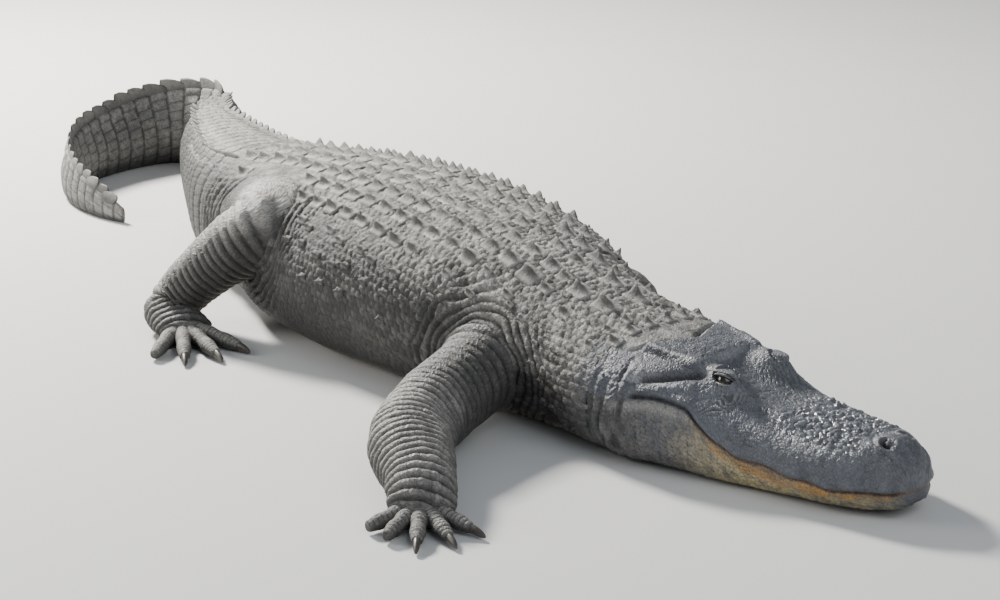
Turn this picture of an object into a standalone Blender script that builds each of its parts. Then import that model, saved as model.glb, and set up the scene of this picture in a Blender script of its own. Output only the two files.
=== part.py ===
"""American alligator at rest on a floor, life size, as one still model.

The body follows one curved spine. A place on it is given by s, the distance
from the snout tip along that spine, a distance to the animal's left, and a
height over the floor. The trunk lies along X with the head towards +X and the
animal's left towards +Y. All sizes are metres.
"""
import math
import random

import bmesh
import bpy
import numpy as np
from mathutils import Vector

# whole animal
TOTAL_LENGTH = 3.0
SPINE_STEP = 0.005
GAP = 0.0003
SLIVER = 0.00002
SNOUT_X = 1.1692
SNOUT_Y = 0.1116
SEED = 11

# where the spine is cut into named lengths
HEAD_END = 0.42
NECK_END = 0.615
TORSO_END = 1.46
TAIL_END = 2.996
LENGTHS = {
    "neck": (HEAD_END, NECK_END, 0.032), "torso": (NECK_END, TORSO_END, 0.042),
    "tail_1": (TORSO_END, 1.82, 0.036), "tail_2": (1.82, 2.16, 0.036),
    "tail_3": (2.16, 2.50, 0.022), "tail_4": (2.50, TAIL_END, 0.055)}

# heading of the spine, in degrees to the animal's left, by distance from the snout
HEADINGS = np.array([
    (0.00, 9.1), (0.42, 9.1), (0.70, 0.0), (1.40, 0.0), (1.62, -17.8), (1.85, -20.0),
    (2.00, -23.0), (2.17, -39.0), (2.47, 100.0), (2.60, 120.0), (2.80, 165.0), (3.00, 200.0)])

# s, half width, crown height, height of the widest line, underside height,
# crown roundness, keel roundness
BODY = np.array([
    (0.030, 0.050, 0.088, 0.042, 0.010, 2.7, 2.8),
    (0.060, 0.072, 0.097, 0.040, 0.008, 2.8, 2.8),
    (0.100, 0.083, 0.098, 0.038, 0.006, 2.9, 2.8),
    (0.160, 0.092, 0.101, 0.038, 0.004, 2.8, 2.8),
    (0.220, 0.103, 0.109, 0.043, 0.002, 2.7, 2.8),
    (0.270, 0.115, 0.121, 0.052, 0.000, 2.7, 2.7),
    (0.310, 0.125, 0.136, 0.060, 0.000, 2.7, 2.6),
    (0.360, 0.138, 0.148, 0.066, 0.000, 2.6, 2.6),
    (0.410, 0.146, 0.157, 0.071, 0.000, 2.5, 2.6),
    (0.460, 0.144, 0.164, 0.074, 0.000, 2.4, 2.6),
    (0.540, 0.136, 0.181, 0.085, 0.000, 2.2, 2.6),
    (0.620, 0.150, 0.198, 0.095, 0.000, 2.2, 2.6),
    (0.700, 0.178, 0.220, 0.103, 0.000, 2.3, 2.6),
    (0.850, 0.212, 0.240, 0.108, 0.000, 2.4, 2.6),
    (1.020, 0.230, 0.250, 0.110, 0.000, 2.4, 2.6),
    (1.200, 0.212, 0.246, 0.108, 0.000, 2.4, 2.6),
    (1.340, 0.168, 0.236, 0.106, 0.000, 2.3, 2.6),
    (1.450, 0.138, 0.224, 0.103, 0.000, 2.4, 2.6),
    (1.600, 0.113, 0.208, 0.097, 0.000, 2.6, 2.4),
    (1.800, 0.088, 0.190, 0.088, 0.000, 2.5, 2.3),
    (2.000, 0.068, 0.174, 0.079, 0.000, 2.2, 2.2),
    (2.200, 0.050, 0.156, 0.070, 0.000, 1.8, 2.1),
    (2.400, 0.036, 0.134, 0.060, 0.000, 1.6, 2.1),
    (2.600, 0.025, 0.108, 0.048, 0.000, 1.6, 2.1),
    (2.800, 0.016, 0.078, 0.035, 0.000, 1.7, 2.0),
    (2.950, 0.009, 0.048, 0.022, 0.000, 1.8, 2.0),
    (3.000, 0.004, 0.026, 0.013, 0.000, 2.0, 2.0)])
SAG = 0.15
NOSE_ROUND = 0.030
BODY_POINTS = 11
JAW_POINTS = 12
PLATE_POINTS = 61
FINE_POINTS = 121

# s and height of the mouth line, which climbs behind the eye
MOUTH = np.array([
    (0.000, 0.040), (0.030, 0.037), (0.085, 0.036), (0.135, 0.039), (0.175, 0.045), (0.217, 0.050),
    (0.249, 0.062), (0.281, 0.084), (0.304, 0.101), (0.345, 0.107), (0.381, 0.103), (0.420, 0.097)])

# head
EYE_S = 0.282
EYE_OUT = 0.054
EYE_HEIGHT = 0.130
EYE_RADIUS = 0.0140
EYE_FACETS = 12
LID_THICKNESS = 0.0045
EYE_OPENING = (0.0115, 0.030, 0.0062)
OPENING_OUT = 0.024
OPENING_UP = 0.003
BROW_LIFT = 0.019
BROW_REACH = (0.034, 0.022)
BROW_INSET = 0.004
TABLE_LIFT = 0.008
TABLE_START = (0.322, 0.347)
TABLE_END = (0.374, 0.398)
TABLE_NOTCH = 0.40
TABLE_EDGE = (0.068, 0.082)
PAD_S = 0.034
PAD_LIFT = 0.010
PAD_REACH = (0.022, 0.036)
NOSTRIL_S = 0.040
NOSTRIL_OUT = 0.020
NOSTRIL_HEIGHT = 0.0975
NOSTRIL_RADIUS = 0.0055
LIP_OVERHANG = 0.004
LIP_FADE = (0.28, 0.36)
JAW_NARROWEST = 0.6
SEAM_MARGIN = 0.25
NOSE_STATIONS = (0.003, 0.010, 0.019)
HEAD_STEP = 0.028
EAR_S = 0.350
EAR_OUT = 0.093
EAR_HEIGHT = 0.131
EAR_SIZE = (0.050, 0.014, 0.004)

# plates
ROW_PITCH = 0.0435
SIDE_PITCH = 0.043
PLATE_LENGTH = 0.036
PLATE_WIDTH = 0.034
PLATE_RISE = 0.003
KEEL_RISE = 0.013
ROOT_DEPTH = 0.009
PLATE_CLEARANCE = 0.034
FLANK_START = 0.78
FLANK_ROW = 0.60
FLANK_STRAY = 0.006
FLANK_KEEL = (0.021, 0.016, 0.001, 0.008)
PLATE_ROOT = 0.80
PLATE_PEAK = 0.72
KEEL_FRONT = (-0.34, 0.30)
ROW_SIZES = (1.0, 1.0, 0.92, 0.80)
ROW_KEELS = (0.9, 1.1, 1.05, 1.0)
# nape plates: s, arc, length, width, rise and keel
NAPE = [
    (0.520, 0.030, 0.042, 0.044, 0.003, 0.015), (0.572, 0.032, 0.040, 0.044, 0.003, 0.015),
    (0.548, 0.082, 0.028, 0.026, 0.002, 0.010), (0.452, 0.018, 0.022, 0.022, 0.002, 0.008),
    (0.452, 0.052, 0.022, 0.022, 0.002, 0.008), (0.452, 0.086, 0.022, 0.022, 0.002, 0.008),
    (0.485, 0.115, 0.020, 0.016, 0.001, 0.007), (0.530, 0.128, 0.020, 0.016, 0.001, 0.007),
    (0.580, 0.125, 0.020, 0.016, 0.001, 0.007), (0.500, 0.075, 0.020, 0.016, 0.001, 0.007)]
WHORL_PITCH = 0.041
CREST_START = 0.004
CREST_THICKNESS = 0.010
CREST_FILL = 0.86
CREST_LEAN = 0.25
CREST_MEETING = 2.24

# legs: root as s, distance from the midline and height, then steps forward, outward and up
ARM_ROOT = (0.660, 0.118, 0.078)
LEG_ROOT = (1.360, 0.080, 0.112)
RIGHT_ARM = ((0.124, 0.216, -0.024), (0.140, 0.082, -0.018), (0.80, 0.60))
LEFT_ARM = ((-0.168, 0.134, -0.022), (-0.120, 0.064, -0.020), (-0.80, 0.60))
RIGHT_LEG = ((0.184, 0.112, 0.068), (-0.104, 0.108, -0.134), (0.96, 0.28))
LEFT_LEG = ((0.140, 0.178, -0.024), (-0.106, 0.062, -0.048), (0.80, 0.60))
ARM_RADII = (0.058, 0.054, 0.052, 0.046, 0.036)
LEG_RADII = (0.072, 0.064, 0.053, 0.046, 0.036)
ARM_WIDENING = (1.0, 1.02, 1.05, 1.16, 1.22)
LEG_WIDENING = (1.0, 1.0, 1.0, 1.0, 1.12)
LIMB_SIDES = 12
ARM_NAMES = ("upper_arm", "forearm", "hand")
LEG_NAMES = ("thigh", "shank", "foot")
HAND = {"palm": 0.055, "width": 0.042, "toes": 5, "spread": 105.0, "length": 0.062, "radius": 0.0105}
FOOT = {"palm": 0.085, "width": 0.044, "toes": 4, "spread": 62.0, "length": 0.092, "radius": 0.0115}
LENGTH_MARKS = (0.0, 0.5, 1.0)
PALM_NARROWING = 0.92
PALM_DEPTHS = (0.024, 0.015)
ROUND_END = (30.0, 55.0, 75.0)
KNUCKLE_HEIGHT = 0.018
PALM_HEIGHT = 0.0012
TOE_ARCH = ((0.0, 0.016), (0.35, 0.017), (0.7, 0.014), (1.0, 0.010))
TOE_TAPER = (1.15, 1.0, 0.95, 0.78)
TOE_SHORTENING = 0.10
# toes start inside the palm: shares of its length behind, out to and past their roots
TOES_BEHIND = 0.45
TOES_OUT = 0.25
TOES_PAST = 0.35
CLAWED_TOES = 3
CLAW_LENGTH = 0.024
CLAW_THICKNESS = 0.62
CLAW_FLATTENING = 0.8
CLAW_MARKS = (0.0, 0.35, 0.70, 1.0)
CLAW_DROPS = (0.0, 0.0008, 0.0030, 0.0066)
CLAW_TAPER = (1.0, 0.80, 0.48, 0.12)
TOE_SIDES = 6

COLOURS = {
    "head": (0.070, 0.074, 0.080), "lower_jaw": (0.32, 0.29, 0.22), "neck": (0.115, 0.112, 0.104),
    "torso": (0.130, 0.125, 0.112), "tail": (0.110, 0.108, 0.100), "limb": (0.105, 0.104, 0.100),
    "eye": (0.030, 0.026, 0.016), "claw": (0.055, 0.048, 0.040)}


def through(table, column, at):
    """Smooth, overshoot-free curve through one column of a table."""
    x = table[:, 0]
    y = table[:, column]
    step = np.diff(x)
    slope = np.diff(y) / step
    tangent = np.zeros(len(y))
    tangent[0] = slope[0]
    tangent[-1] = slope[-1]
    one = 2 * step[1:] + step[:-1]
    two = step[1:] + 2 * step[:-1]
    rising = slope[:-1] * slope[1:] > 0
    safe_a = np.where(rising, slope[:-1], 1.0)
    safe_b = np.where(rising, slope[1:], 1.0)
    tangent[1:-1] = np.where(rising, (one + two) / (one / safe_a + two / safe_b), 0.0)
    at = np.clip(at, x[0], x[-1])
    k = np.clip(np.searchsorted(x, at) - 1, 0, len(step) - 1)
    t = (at - x[k]) / step[k]
    h = step[k]
    rise = y[k] * (1 + 2 * t) * (1 - t) ** 2 + y[k + 1] * t * t * (3 - 2 * t)
    return rise + tangent[k] * h * t * (1 - t) ** 2 + tangent[k + 1] * h * t * t * (t - 1)


def trace_spine():
    """Walk tailwards from the snout tip and note x, y and heading."""
    s = np.arange(0.0, TOTAL_LENGTH + SPINE_STEP / 2, SPINE_STEP)
    middle = np.radians(through(HEADINGS, 1, s[:-1] + SPINE_STEP / 2))
    x = SNOUT_X - np.concatenate([[0.0], np.cumsum(np.cos(middle) * SPINE_STEP)])
    y = SNOUT_Y - np.concatenate([[0.0], np.cumsum(np.sin(middle) * SPINE_STEP)])
    return s, x, y, np.radians(through(HEADINGS, 1, s))


SPINE = trace_spine()


def place(s, out, up):
    """Point at s along the spine, out to the left and up from the floor."""
    x = np.interp(s, SPINE[0], SPINE[1])
    y = np.interp(s, SPINE[0], SPINE[2])
    heading = np.interp(s, SPINE[0], SPINE[3])
    return Vector((x - out * math.sin(heading), y + out * math.cos(heading), up))


def bump(distance, reach):
    """Round bump of height 1 that fades with the distance."""
    return np.exp(-(distance / reach) ** 2)


def ramp(value, low, high):
    """Smooth step from 0 at low to 1 at high."""
    t = np.clip((value - low) / (high - low), 0.0, 1.0)
    return t * t * (3 - 2 * t)


def head_lift(s, out):
    """How far brow, skull table and nose pad stand over the plain head."""
    brow = bump(s - EYE_S, BROW_REACH[0]) * bump(abs(out) - EYE_OUT + BROW_INSET, BROW_REACH[1])
    rear = s - TABLE_NOTCH * abs(out)
    table = ramp(s, *TABLE_START) * (1 - ramp(rear, *TABLE_END)) * (1 - ramp(abs(out), *TABLE_EDGE))
    pad = bump(s - PAD_S, PAD_REACH[0]) * bump(out, PAD_REACH[1])
    return BROW_LIFT * brow + TABLE_LIFT * table + PAD_LIFT * pad


def half_ring(s, grow=0.0, points=BODY_POINTS):
    """Section from crown to keel: distances from the midline and heights."""
    width, crown, side, low, round_up, round_down = (
        float(through(BODY, k, np.array([s]))[0]) for k in range(1, 7))
    angle = np.linspace(0.0, math.pi, points)
    upper = angle <= math.pi / 2 + 1e-9
    power = np.where(upper, 2 / round_up, 2 / round_down)
    reach = np.abs(np.cos(angle)) ** power
    out = width * np.abs(np.sin(angle)) ** power
    out[0] = 0.0
    out[-1] = 0.0
    lower = np.maximum(side - (side - low) * (1 + SAG) * reach, low)
    up = np.where(upper, side + (crown - side) * reach, lower)
    if s < NOSE_ROUND:
        shrink = math.sqrt(max(0.0, 1 - (1 - s / NOSE_ROUND) ** 2))
        out = out * shrink
        up = side + (up - side) * shrink
    lift = head_lift(s, out) * np.clip((up - side) / (crown - side), 0.0, 1.0)
    up = up + np.where(upper, lift, 0.0)
    return out * (1 + grow / width), np.where(up > side, up + grow, up)


def on_body(s, arc):
    """Point, outward normal, tailward and sideways directions at an arc from the crown."""
    def at(position, distance):
        out, up = half_ring(position, points=PLATE_POINTS)
        run = np.concatenate([[0.0], np.cumsum(np.hypot(np.diff(out), np.diff(up)))])
        side = math.copysign(1.0, distance)
        length = abs(distance)
        return place(position, side * np.interp(length, run, out), float(np.interp(length, run, up)))
    step = 0.004
    point = at(s, arc)
    back = (at(s + step, arc) - at(s - step, arc)).normalized()
    left = (at(s, arc + step) - at(s, arc - step)).normalized()
    normal = left.cross(back).normalized()
    if normal.dot(point - place(s, 0.0, 0.04)) < 0:
        normal = -normal
    return point, normal, back, left


def new_mesh(name, vertices, faces):
    """Object from vertices and faces, with its faces turned outward."""
    mesh = bpy.data.meshes.new(name)
    mesh.from_pydata([tuple(v) for v in vertices], [], faces)
    work = bmesh.new()
    work.from_mesh(mesh)
    bmesh.ops.recalc_face_normals(work, faces=work.faces)
    work.to_mesh(mesh)
    work.free()
    thing = bpy.data.objects.new(name, mesh)
    bpy.context.scene.collection.objects.link(thing)
    return thing


def skin_rings(name, rings):
    """Closed solid through rings of equal count, capped at both ends."""
    count = len(rings[0])
    vertices = [v for ring in rings for v in ring]
    faces = []
    for k in range(len(rings) - 1):
        for j in range(count):
            a = k * count + j
            b = k * count + (j + 1) % count
            faces.append((a, b, b + count))
            faces.append((a, b + count, a + count))
    faces.append(tuple(range(count)))
    faces.append(tuple(range((len(rings) - 1) * count, len(rings) * count)))
    return new_mesh(name, vertices, faces)


def full_ring(s, grow=0.0):
    """Whole section as points around the body."""
    out, up = half_ring(s, grow)
    left = [place(s, out[k], up[k]) for k in range(len(out))]
    right = [place(s, -out[k], up[k]) for k in range(len(out) - 2, 0, -1)]
    return left + right


def spread(start, end, step):
    """Even stations from start to end, about step apart."""
    return np.linspace(start, end, max(2, int(round((end - start) / step)) + 1))


def stations_of(name):
    """Ring places of one length of neck, trunk or tail."""
    start, end, step = LENGTHS[name]
    return spread(start + GAP / 2, end - GAP / 2, step)


def body_length(name):
    """One length of neck, trunk or tail."""
    return skin_rings(name, [full_ring(s) for s in stations_of(name)])


def resample(out, up, count):
    """The same outline with evenly spaced points."""
    run = np.concatenate([[0.0], np.cumsum(np.hypot(np.diff(out), np.diff(up)))])
    even = np.linspace(0.0, run[-1], count)
    return np.interp(even, run, out), np.interp(even, run, up)


def jaw_half(s, upper):
    """Half outline of the upper head or the lower jaw, from or to the mouth line."""
    out, up = half_ring(s, points=FINE_POINTS)
    span = up.max() - up.min()
    seam = float(through(MOUTH, 1, np.array([s]))[0])
    seam = min(max(seam, up.min() + SEAM_MARGIN * span), up.max() - SEAM_MARGIN * span)
    below = int(np.nonzero(up > seam)[0][-1]) + 1
    edge = float(np.interp(seam, [up[below], up[below - 1]], [out[below], out[below - 1]]))
    if upper:
        return resample(np.append(out[:below], edge), np.append(up[:below], seam + GAP / 2), JAW_POINTS)
    inset = LIP_OVERHANG * (1 - ramp(s, *LIP_FADE))
    out = np.append(edge, out[below:])
    out = np.maximum(out - inset, out * JAW_NARROWEST)
    out[-1] = 0.0
    return resample(out, np.append(seam - GAP / 2, up[below:]), JAW_POINTS)


def jaw_rings(upper):
    """Rings of the upper head or of the lower jaw, split at the mouth line."""
    stations = list(NOSE_STATIONS) + list(spread(NOSE_ROUND, HEAD_END - GAP / 2, HEAD_STEP))
    if not upper:
        stations = stations[1:]
    rings = []
    for s in stations:
        out, up = jaw_half(s, upper)
        left = [place(s, out[k], up[k]) for k in range(len(out))]
        right = [place(s, -out[k], up[k]) for k in range(len(out) - 1, -1, -1)]
        loop = left + right
        loop.pop(0 if upper else len(left))
        rings.append(loop)
    return rings


def join(thing, pieces, solver='EXACT'):
    """Fuse closed pieces onto a solid and keep its one outer surface."""
    group = bpy.data.collections.new(thing.name + "_pieces")
    bpy.context.scene.collection.children.link(group)
    for piece in pieces:
        group.objects.link(piece)
        bpy.context.scene.collection.objects.unlink(piece)
    change = thing.modifiers.new("join", 'BOOLEAN')
    change.operation = 'UNION'
    change.solver = solver
    change.operand_type = 'COLLECTION'
    change.collection = group
    settle(thing)
    for piece in pieces:
        bpy.data.objects.remove(piece)
    bpy.data.collections.remove(group)
    keep_largest(thing)


def carve(thing, cutters, solver='EXACT'):
    """Take each cutter's shape out of a solid."""
    for cutter in cutters:
        change = thing.modifiers.new("carve", 'BOOLEAN')
        change.operation = 'DIFFERENCE'
        change.solver = solver
        change.object = cutter
    settle(thing)
    for cutter in cutters:
        bpy.data.objects.remove(cutter)
    keep_largest(thing)


def settle(thing):
    """Replace an object's mesh by the one its modifiers give."""
    graph = bpy.context.evaluated_depsgraph_get()
    mesh = bpy.data.meshes.new_from_object(thing.evaluated_get(graph))
    thing.modifiers.clear()
    old = thing.data
    thing.data = mesh
    bpy.data.meshes.remove(old)


def keep_largest(thing):
    """Close hair-thin slivers and drop every loose surface but the one with the most faces."""
    work = bmesh.new()
    work.from_mesh(thing.data)
    bmesh.ops.remove_doubles(work, verts=work.verts, dist=SLIVER)
    left = set(work.verts)
    groups = []
    while left:
        seed = left.pop()
        group = {seed}
        front = [seed]
        while front:
            vertex = front.pop()
            for edge in vertex.link_edges:
                other = edge.other_vert(vertex)
                if other in left:
                    left.discard(other)
                    group.add(other)
                    front.append(other)
        groups.append(group)
    groups.sort(key=len)
    loose = [v for group in groups[:-1] for v in group]
    bmesh.ops.delete(work, geom=loose, context='VERTS')
    work.to_mesh(thing.data)
    work.free()


def ball(name, centre, sizes, turn=0.0, detail=12):
    """Ellipsoid with its half sizes, turned about Z."""
    work = bmesh.new()
    bmesh.ops.create_uvsphere(work, u_segments=detail, v_segments=detail // 2 + 1, radius=1.0)
    for vertex in work.verts:
        x = vertex.co.x * sizes[0]
        y = vertex.co.y * sizes[1]
        vertex.co = Vector((
            centre.x + x * math.cos(turn) - y * math.sin(turn),
            centre.y + x * math.sin(turn) + y * math.cos(turn),
            centre.z + vertex.co.z * sizes[2]))
    mesh = bpy.data.meshes.new(name)
    work.to_mesh(mesh)
    work.free()
    thing = bpy.data.objects.new(name, mesh)
    bpy.context.scene.collection.objects.link(thing)
    return thing


def plate(s, arc, length, width, rise, keel):
    """Keeled plate: a low slab with a ridge that climbs towards the tail."""
    point, normal, back, left = on_body(s, arc)
    vertices = []
    for lift, scale in ((-ROOT_DEPTH, PLATE_ROOT), (rise, 1.0)):
        for along, across in ((-0.5, -0.5), (-0.5, 0.5), (0.5, 0.5), (0.5, -0.5)):
            edge = back * along * length * scale + left * across * width * scale
            vertices.append(point + edge + normal * lift)
    vertices.append(point + back * (KEEL_FRONT[0] * length) + normal * (rise + keel * KEEL_FRONT[1]))
    vertices.append(point + back * ((PLATE_PEAK - 0.5) * length) + normal * (rise + keel))
    faces = [(0, 1, 2, 3), (0, 4, 5, 1), (1, 5, 6, 2), (2, 6, 7, 3), (3, 7, 4, 0)]
    faces += [(4, 8, 5), (5, 8, 9), (5, 9, 6), (6, 9, 7), (7, 9, 8), (7, 8, 4)]
    return new_mesh("plate", vertices, faces)


def blade(s, arc, length, height, lean):
    """Upright crest scale of the tail, swept back at its tip."""
    point, normal, back, left = on_body(s, arc)
    up = (normal + left * lean).normalized()
    half = CREST_THICKNESS / 2
    profile = ((-0.50, -0.012, 1.0), (0.50, -0.012, 1.0), (0.46, height * 0.35, 0.75),
               (0.50, height, 0.28), (0.18, height * 0.93, 0.30), (-0.42, height * 0.22, 0.75))
    vertices = []
    for side in (-1, 1):
        for along, lift, thick in profile:
            vertices.append(point + back * along * length + up * lift + left * side * half * thick)
    count = len(profile)
    faces = [tuple(range(count)), tuple(range(count, 2 * count))]
    faces += [(k, (k + 1) % count, (k + 1) % count + count, k + count) for k in range(count)]
    return new_mesh("blade", vertices, faces)


def crest_offset(s):
    """Arc from the midline to each row of the double tail crest."""
    rows = np.array([(1.40, 0.070), (1.55, 0.074), (1.80, 0.056), (2.00, 0.034), (CREST_MEETING, 0.008)])
    return float(through(rows, 1, np.array([s]))[0])


def crest_height(s):
    """Height of the tail crest over the skin."""
    rows = np.array([(1.40, 0.009), (1.60, 0.013), (1.90, 0.017), (2.15, 0.021), (2.28, 0.031),
                     (2.40, 0.038), (2.60, 0.035), (2.85, 0.022), (3.00, 0.010)])
    return float(through(rows, 1, np.array([s]))[0])


def rows_per_side(s):
    """Long rows of plates on each side of the midline at s."""
    if s < 0.70:
        return 2
    if s < 0.80:
        return 3
    if s < 1.28:
        return 4
    if s < 1.40:
        return 3
    return 2


def trunk_plates(start, end, draw, keep_clear):
    """Rows of keeled plates over the back, and lone keels low on the flank."""
    pieces = []
    for s in np.arange(start, end, ROW_PITCH):
        count = rows_per_side(s)
        for side in (-1, 1):
            for k in range(count):
                arc = side * (k + 0.5) * SIDE_PITCH
                size = ROW_SIZES[k] * draw.uniform(0.93, 1.05)
                keel = KEEL_RISE * ROW_KEELS[k] * draw.uniform(0.85, 1.15)
                if keep_clear(s, arc):
                    pieces.append(plate(
                        s, arc, PLATE_LENGTH * size, PLATE_WIDTH * size, PLATE_RISE, keel))
            arc = side * ((count + FLANK_ROW) * SIDE_PITCH + draw.uniform(-FLANK_STRAY, FLANK_STRAY))
            if s > FLANK_START and keep_clear(s, arc):
                pieces.append(plate(s + draw.uniform(-FLANK_STRAY, FLANK_STRAY), arc, *FLANK_KEEL))
    return pieces


def nape_plates():
    """Four large nape shields, small ones beside them, and a row behind the skull."""
    return [plate(s, side * arc, *size) for side in (-1, 1) for s, arc, *size in NAPE]


def tail_crest(start, end, draw):
    """Crest scales of one length of tail."""
    pieces = []
    s = start
    while True:
        pitch = WHORL_PITCH * (1 - 0.35 * ramp(s, 2.2, 3.0))
        if s + pitch > end:
            return pieces
        middle = s + pitch / 2
        height = crest_height(middle) * draw.uniform(0.94, 1.06)
        if middle < CREST_MEETING:
            for side in (-1, 1):
                arc = side * crest_offset(middle)
                pieces.append(blade(middle, arc, pitch * CREST_FILL, height, side * CREST_LEAN))
        else:
            pieces.append(blade(middle, 0.0, pitch * CREST_FILL, height, 0.0))
        s += pitch


def limb_ring(centre, direction, wide, high, sides, lowest):
    """Oval ring across a limb, kept over its lowest height."""
    across = direction.cross(Vector((0, 0, 1))).normalized()
    up = across.cross(direction).normalized()
    ring = []
    for k in range(sides):
        angle = 2 * math.pi * (k + 0.5) / sides
        point = centre + across * wide * math.cos(angle) + up * high * math.sin(angle)
        point.z = max(point.z, lowest)
        ring.append(point)
    return ring


def tube(name, centres, direction, widths, heights, sides=LIMB_SIDES, lowest=PALM_HEIGHT):
    """Straight limb solid through its centres."""
    return skin_rings(name, [
        limb_ring(c, direction, w, h, sides, lowest) for c, w, h in zip(centres, widths, heights)])


def limb_length(name, start, end, widths, heights, grow=0.0):
    """One length of a leg with a round end; widths and heights at its start, middle and end."""
    along = end - start
    direction = along.normalized()
    centres = [start + along * t for t in LENGTH_MARKS]
    wide = list(np.interp(LENGTH_MARKS, (0.0, 0.5, 1.0), widths))
    high = list(np.interp(LENGTH_MARKS, (0.0, 0.5, 1.0), heights))
    for angle in ROUND_END:
        centres.append(end + direction * (heights[2] + grow) * math.sin(math.radians(angle)))
        wide.append(widths[2] * math.cos(math.radians(angle)))
        high.append(heights[2] * math.cos(math.radians(angle)))
    return tube(name, centres, direction, [w + grow for w in wide], [h + grow for h in high])


def limb_joints(root, steps, side):
    """Joint places of one leg from its root and its steps."""
    joints = [place(root[0], side * root[1], root[2])]
    for forward, outward, up in steps[:2]:
        joints.append(joints[-1] + Vector((forward, side * outward, up)))
    return joints


def toe_directions(heading, side, form):
    """Directions of the toes, from the inner one outward."""
    base = math.atan2(side * heading[1], heading[0])
    span = math.radians(form["spread"])
    return [base + side * span * (k / (form["toes"] - 1) - 0.5) for k in range(form["toes"])]


def toe_length(form, k):
    """Toes differ in length; the outer ones are the shorter."""
    middle = (form["toes"] - 1) / 2
    return form["length"] * (1.0 - TOE_SHORTENING * abs(k - middle))


def limb(label, names, root, steps, side, radii, widening, form):
    """Upper part, lower part, foot and claws of one leg."""
    joints = limb_joints(root, steps, side)
    forward = Vector((steps[2][0], side * steps[2][1], 0.0)).normalized()
    knuckles = joints[2] + forward * form["palm"]
    knuckles.z = KNUCKLE_HEIGHT
    joints.append(knuckles)
    wide = [radius * more for radius, more in zip(radii, widening)]
    palm = ((wide[4], form["width"] * PALM_NARROWING, form["width"]),
            (radii[4], *PALM_DEPTHS))
    sizes = ((wide[0:3], radii[0:3]), (wide[2:5], radii[2:5]), palm)
    parts = []
    for k, name in enumerate(names):
        part = limb_length(name + "_" + label, joints[k], joints[k + 1], *sizes[k])
        if k == 2:
            add_toes(part, knuckles, forward, steps[2], side, form)
        if k > 0:
            above = limb_length("above", joints[k - 1], joints[k], *sizes[k - 1], grow=GAP)
            carve(part, [above], 'MANIFOLD')
        parts.append(part)
    return parts, add_claws(names[2] + "_" + label, knuckles, forward, steps[2], side, form)


def toe_lines(knuckles, forward, heading, side, form):
    """Start, direction and length of each toe."""
    start = knuckles - forward * form["palm"] * TOES_BEHIND
    lines = []
    for k, angle in enumerate(toe_directions(heading, side, form)):
        direction = Vector((math.cos(angle), math.sin(angle), 0.0))
        reach = form["palm"] * TOES_PAST + toe_length(form, k)
        lines.append((start + direction * form["palm"] * TOES_OUT, direction, reach))
    return lines


def add_toes(foot, knuckles, forward, heading, side, form):
    """Fuse the toes to a hand or foot."""
    pieces = []
    for root, direction, reach in toe_lines(knuckles, forward, heading, side, form):
        centres = [Vector((*(root + direction * reach * t).xy, z)) for t, z in TOE_ARCH]
        scale = [form["radius"] * size for size in TOE_TAPER]
        pieces.append(tube("toe", centres, direction, scale, scale, TOE_SIDES, 0.0))
    join(foot, pieces, 'MANIFOLD')


def add_claws(label, knuckles, forward, heading, side, form):
    """A claw on each of the inner toes."""
    claws = []
    lines = toe_lines(knuckles, forward, heading, side, form)[:CLAWED_TOES]
    for k, (root, direction, reach) in enumerate(lines):
        tip = root + direction * (reach + GAP)
        tip.z = TOE_ARCH[-1][1]
        claws.append(claw(f"claw_{label}_{k + 1}", tip, direction, form["radius"] * CLAW_THICKNESS))
    return claws


def claw(name, base, direction, radius):
    """Curved claw whose tip drops to just over the floor."""
    centres = [base + direction * CLAW_LENGTH * mark - Vector((0, 0, drop))
               for mark, drop in zip(CLAW_MARKS, CLAW_DROPS)]
    scale = [radius * size for size in CLAW_TAPER]
    return tube(name, centres, direction, [s * CLAW_FLATTENING for s in scale], scale, TOE_SIDES, 0.0)


def body_cutter():
    """Neck, trunk and tail base a hair larger, to part the legs from them."""
    stations = [s for name in ("neck", "torso", "tail_1") for s in stations_of(name)]
    return skin_rings("body_cutter", [full_ring(s, GAP) for s in stations])


def eye_places():
    """Centre of each eye and the side it is on."""
    return [(side, place(EYE_S, side * EYE_OUT, EYE_HEIGHT)) for side in (-1, 1)]


def head_heading():
    """Heading of the head in radians."""
    return math.radians(HEADINGS[0][1])


def build_head():
    """Upper head with brows, lids round each eye, nostrils and ear slits."""
    head = skin_rings("head", jaw_rings(True))
    turn = head_heading()
    lids = [ball("lid", centre, [EYE_RADIUS + LID_THICKNESS] * 3, detail=EYE_FACETS)
            for side, centre in eye_places()]
    join(head, lids)
    cutters = []
    for side, centre in eye_places():
        cutters.append(ball("socket", centre, [EYE_RADIUS + GAP] * 3, detail=EYE_FACETS))
        opening = place(EYE_S, side * (EYE_OUT + OPENING_OUT), EYE_HEIGHT + OPENING_UP)
        cutters.append(ball("lid_opening", opening, EYE_OPENING, turn, detail=EYE_FACETS))
        nostril = place(NOSTRIL_S, side * NOSTRIL_OUT, NOSTRIL_HEIGHT)
        cutters.append(ball("nostril", nostril, [NOSTRIL_RADIUS] * 3, detail=10))
        ear = place(EAR_S, side * EAR_OUT, EAR_HEIGHT)
        half = [size / 2 for size in EAR_SIZE]
        cutters.append(ball("ear", ear, half, turn, detail=10))
    carve(head, cutters)
    return head


def build_eyes():
    """Two eyeballs, each free in its socket."""
    return [ball("eye_left" if side > 0 else "eye_right", centre, [EYE_RADIUS] * 3, detail=EYE_FACETS)
            for side, centre in eye_places()]


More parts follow.
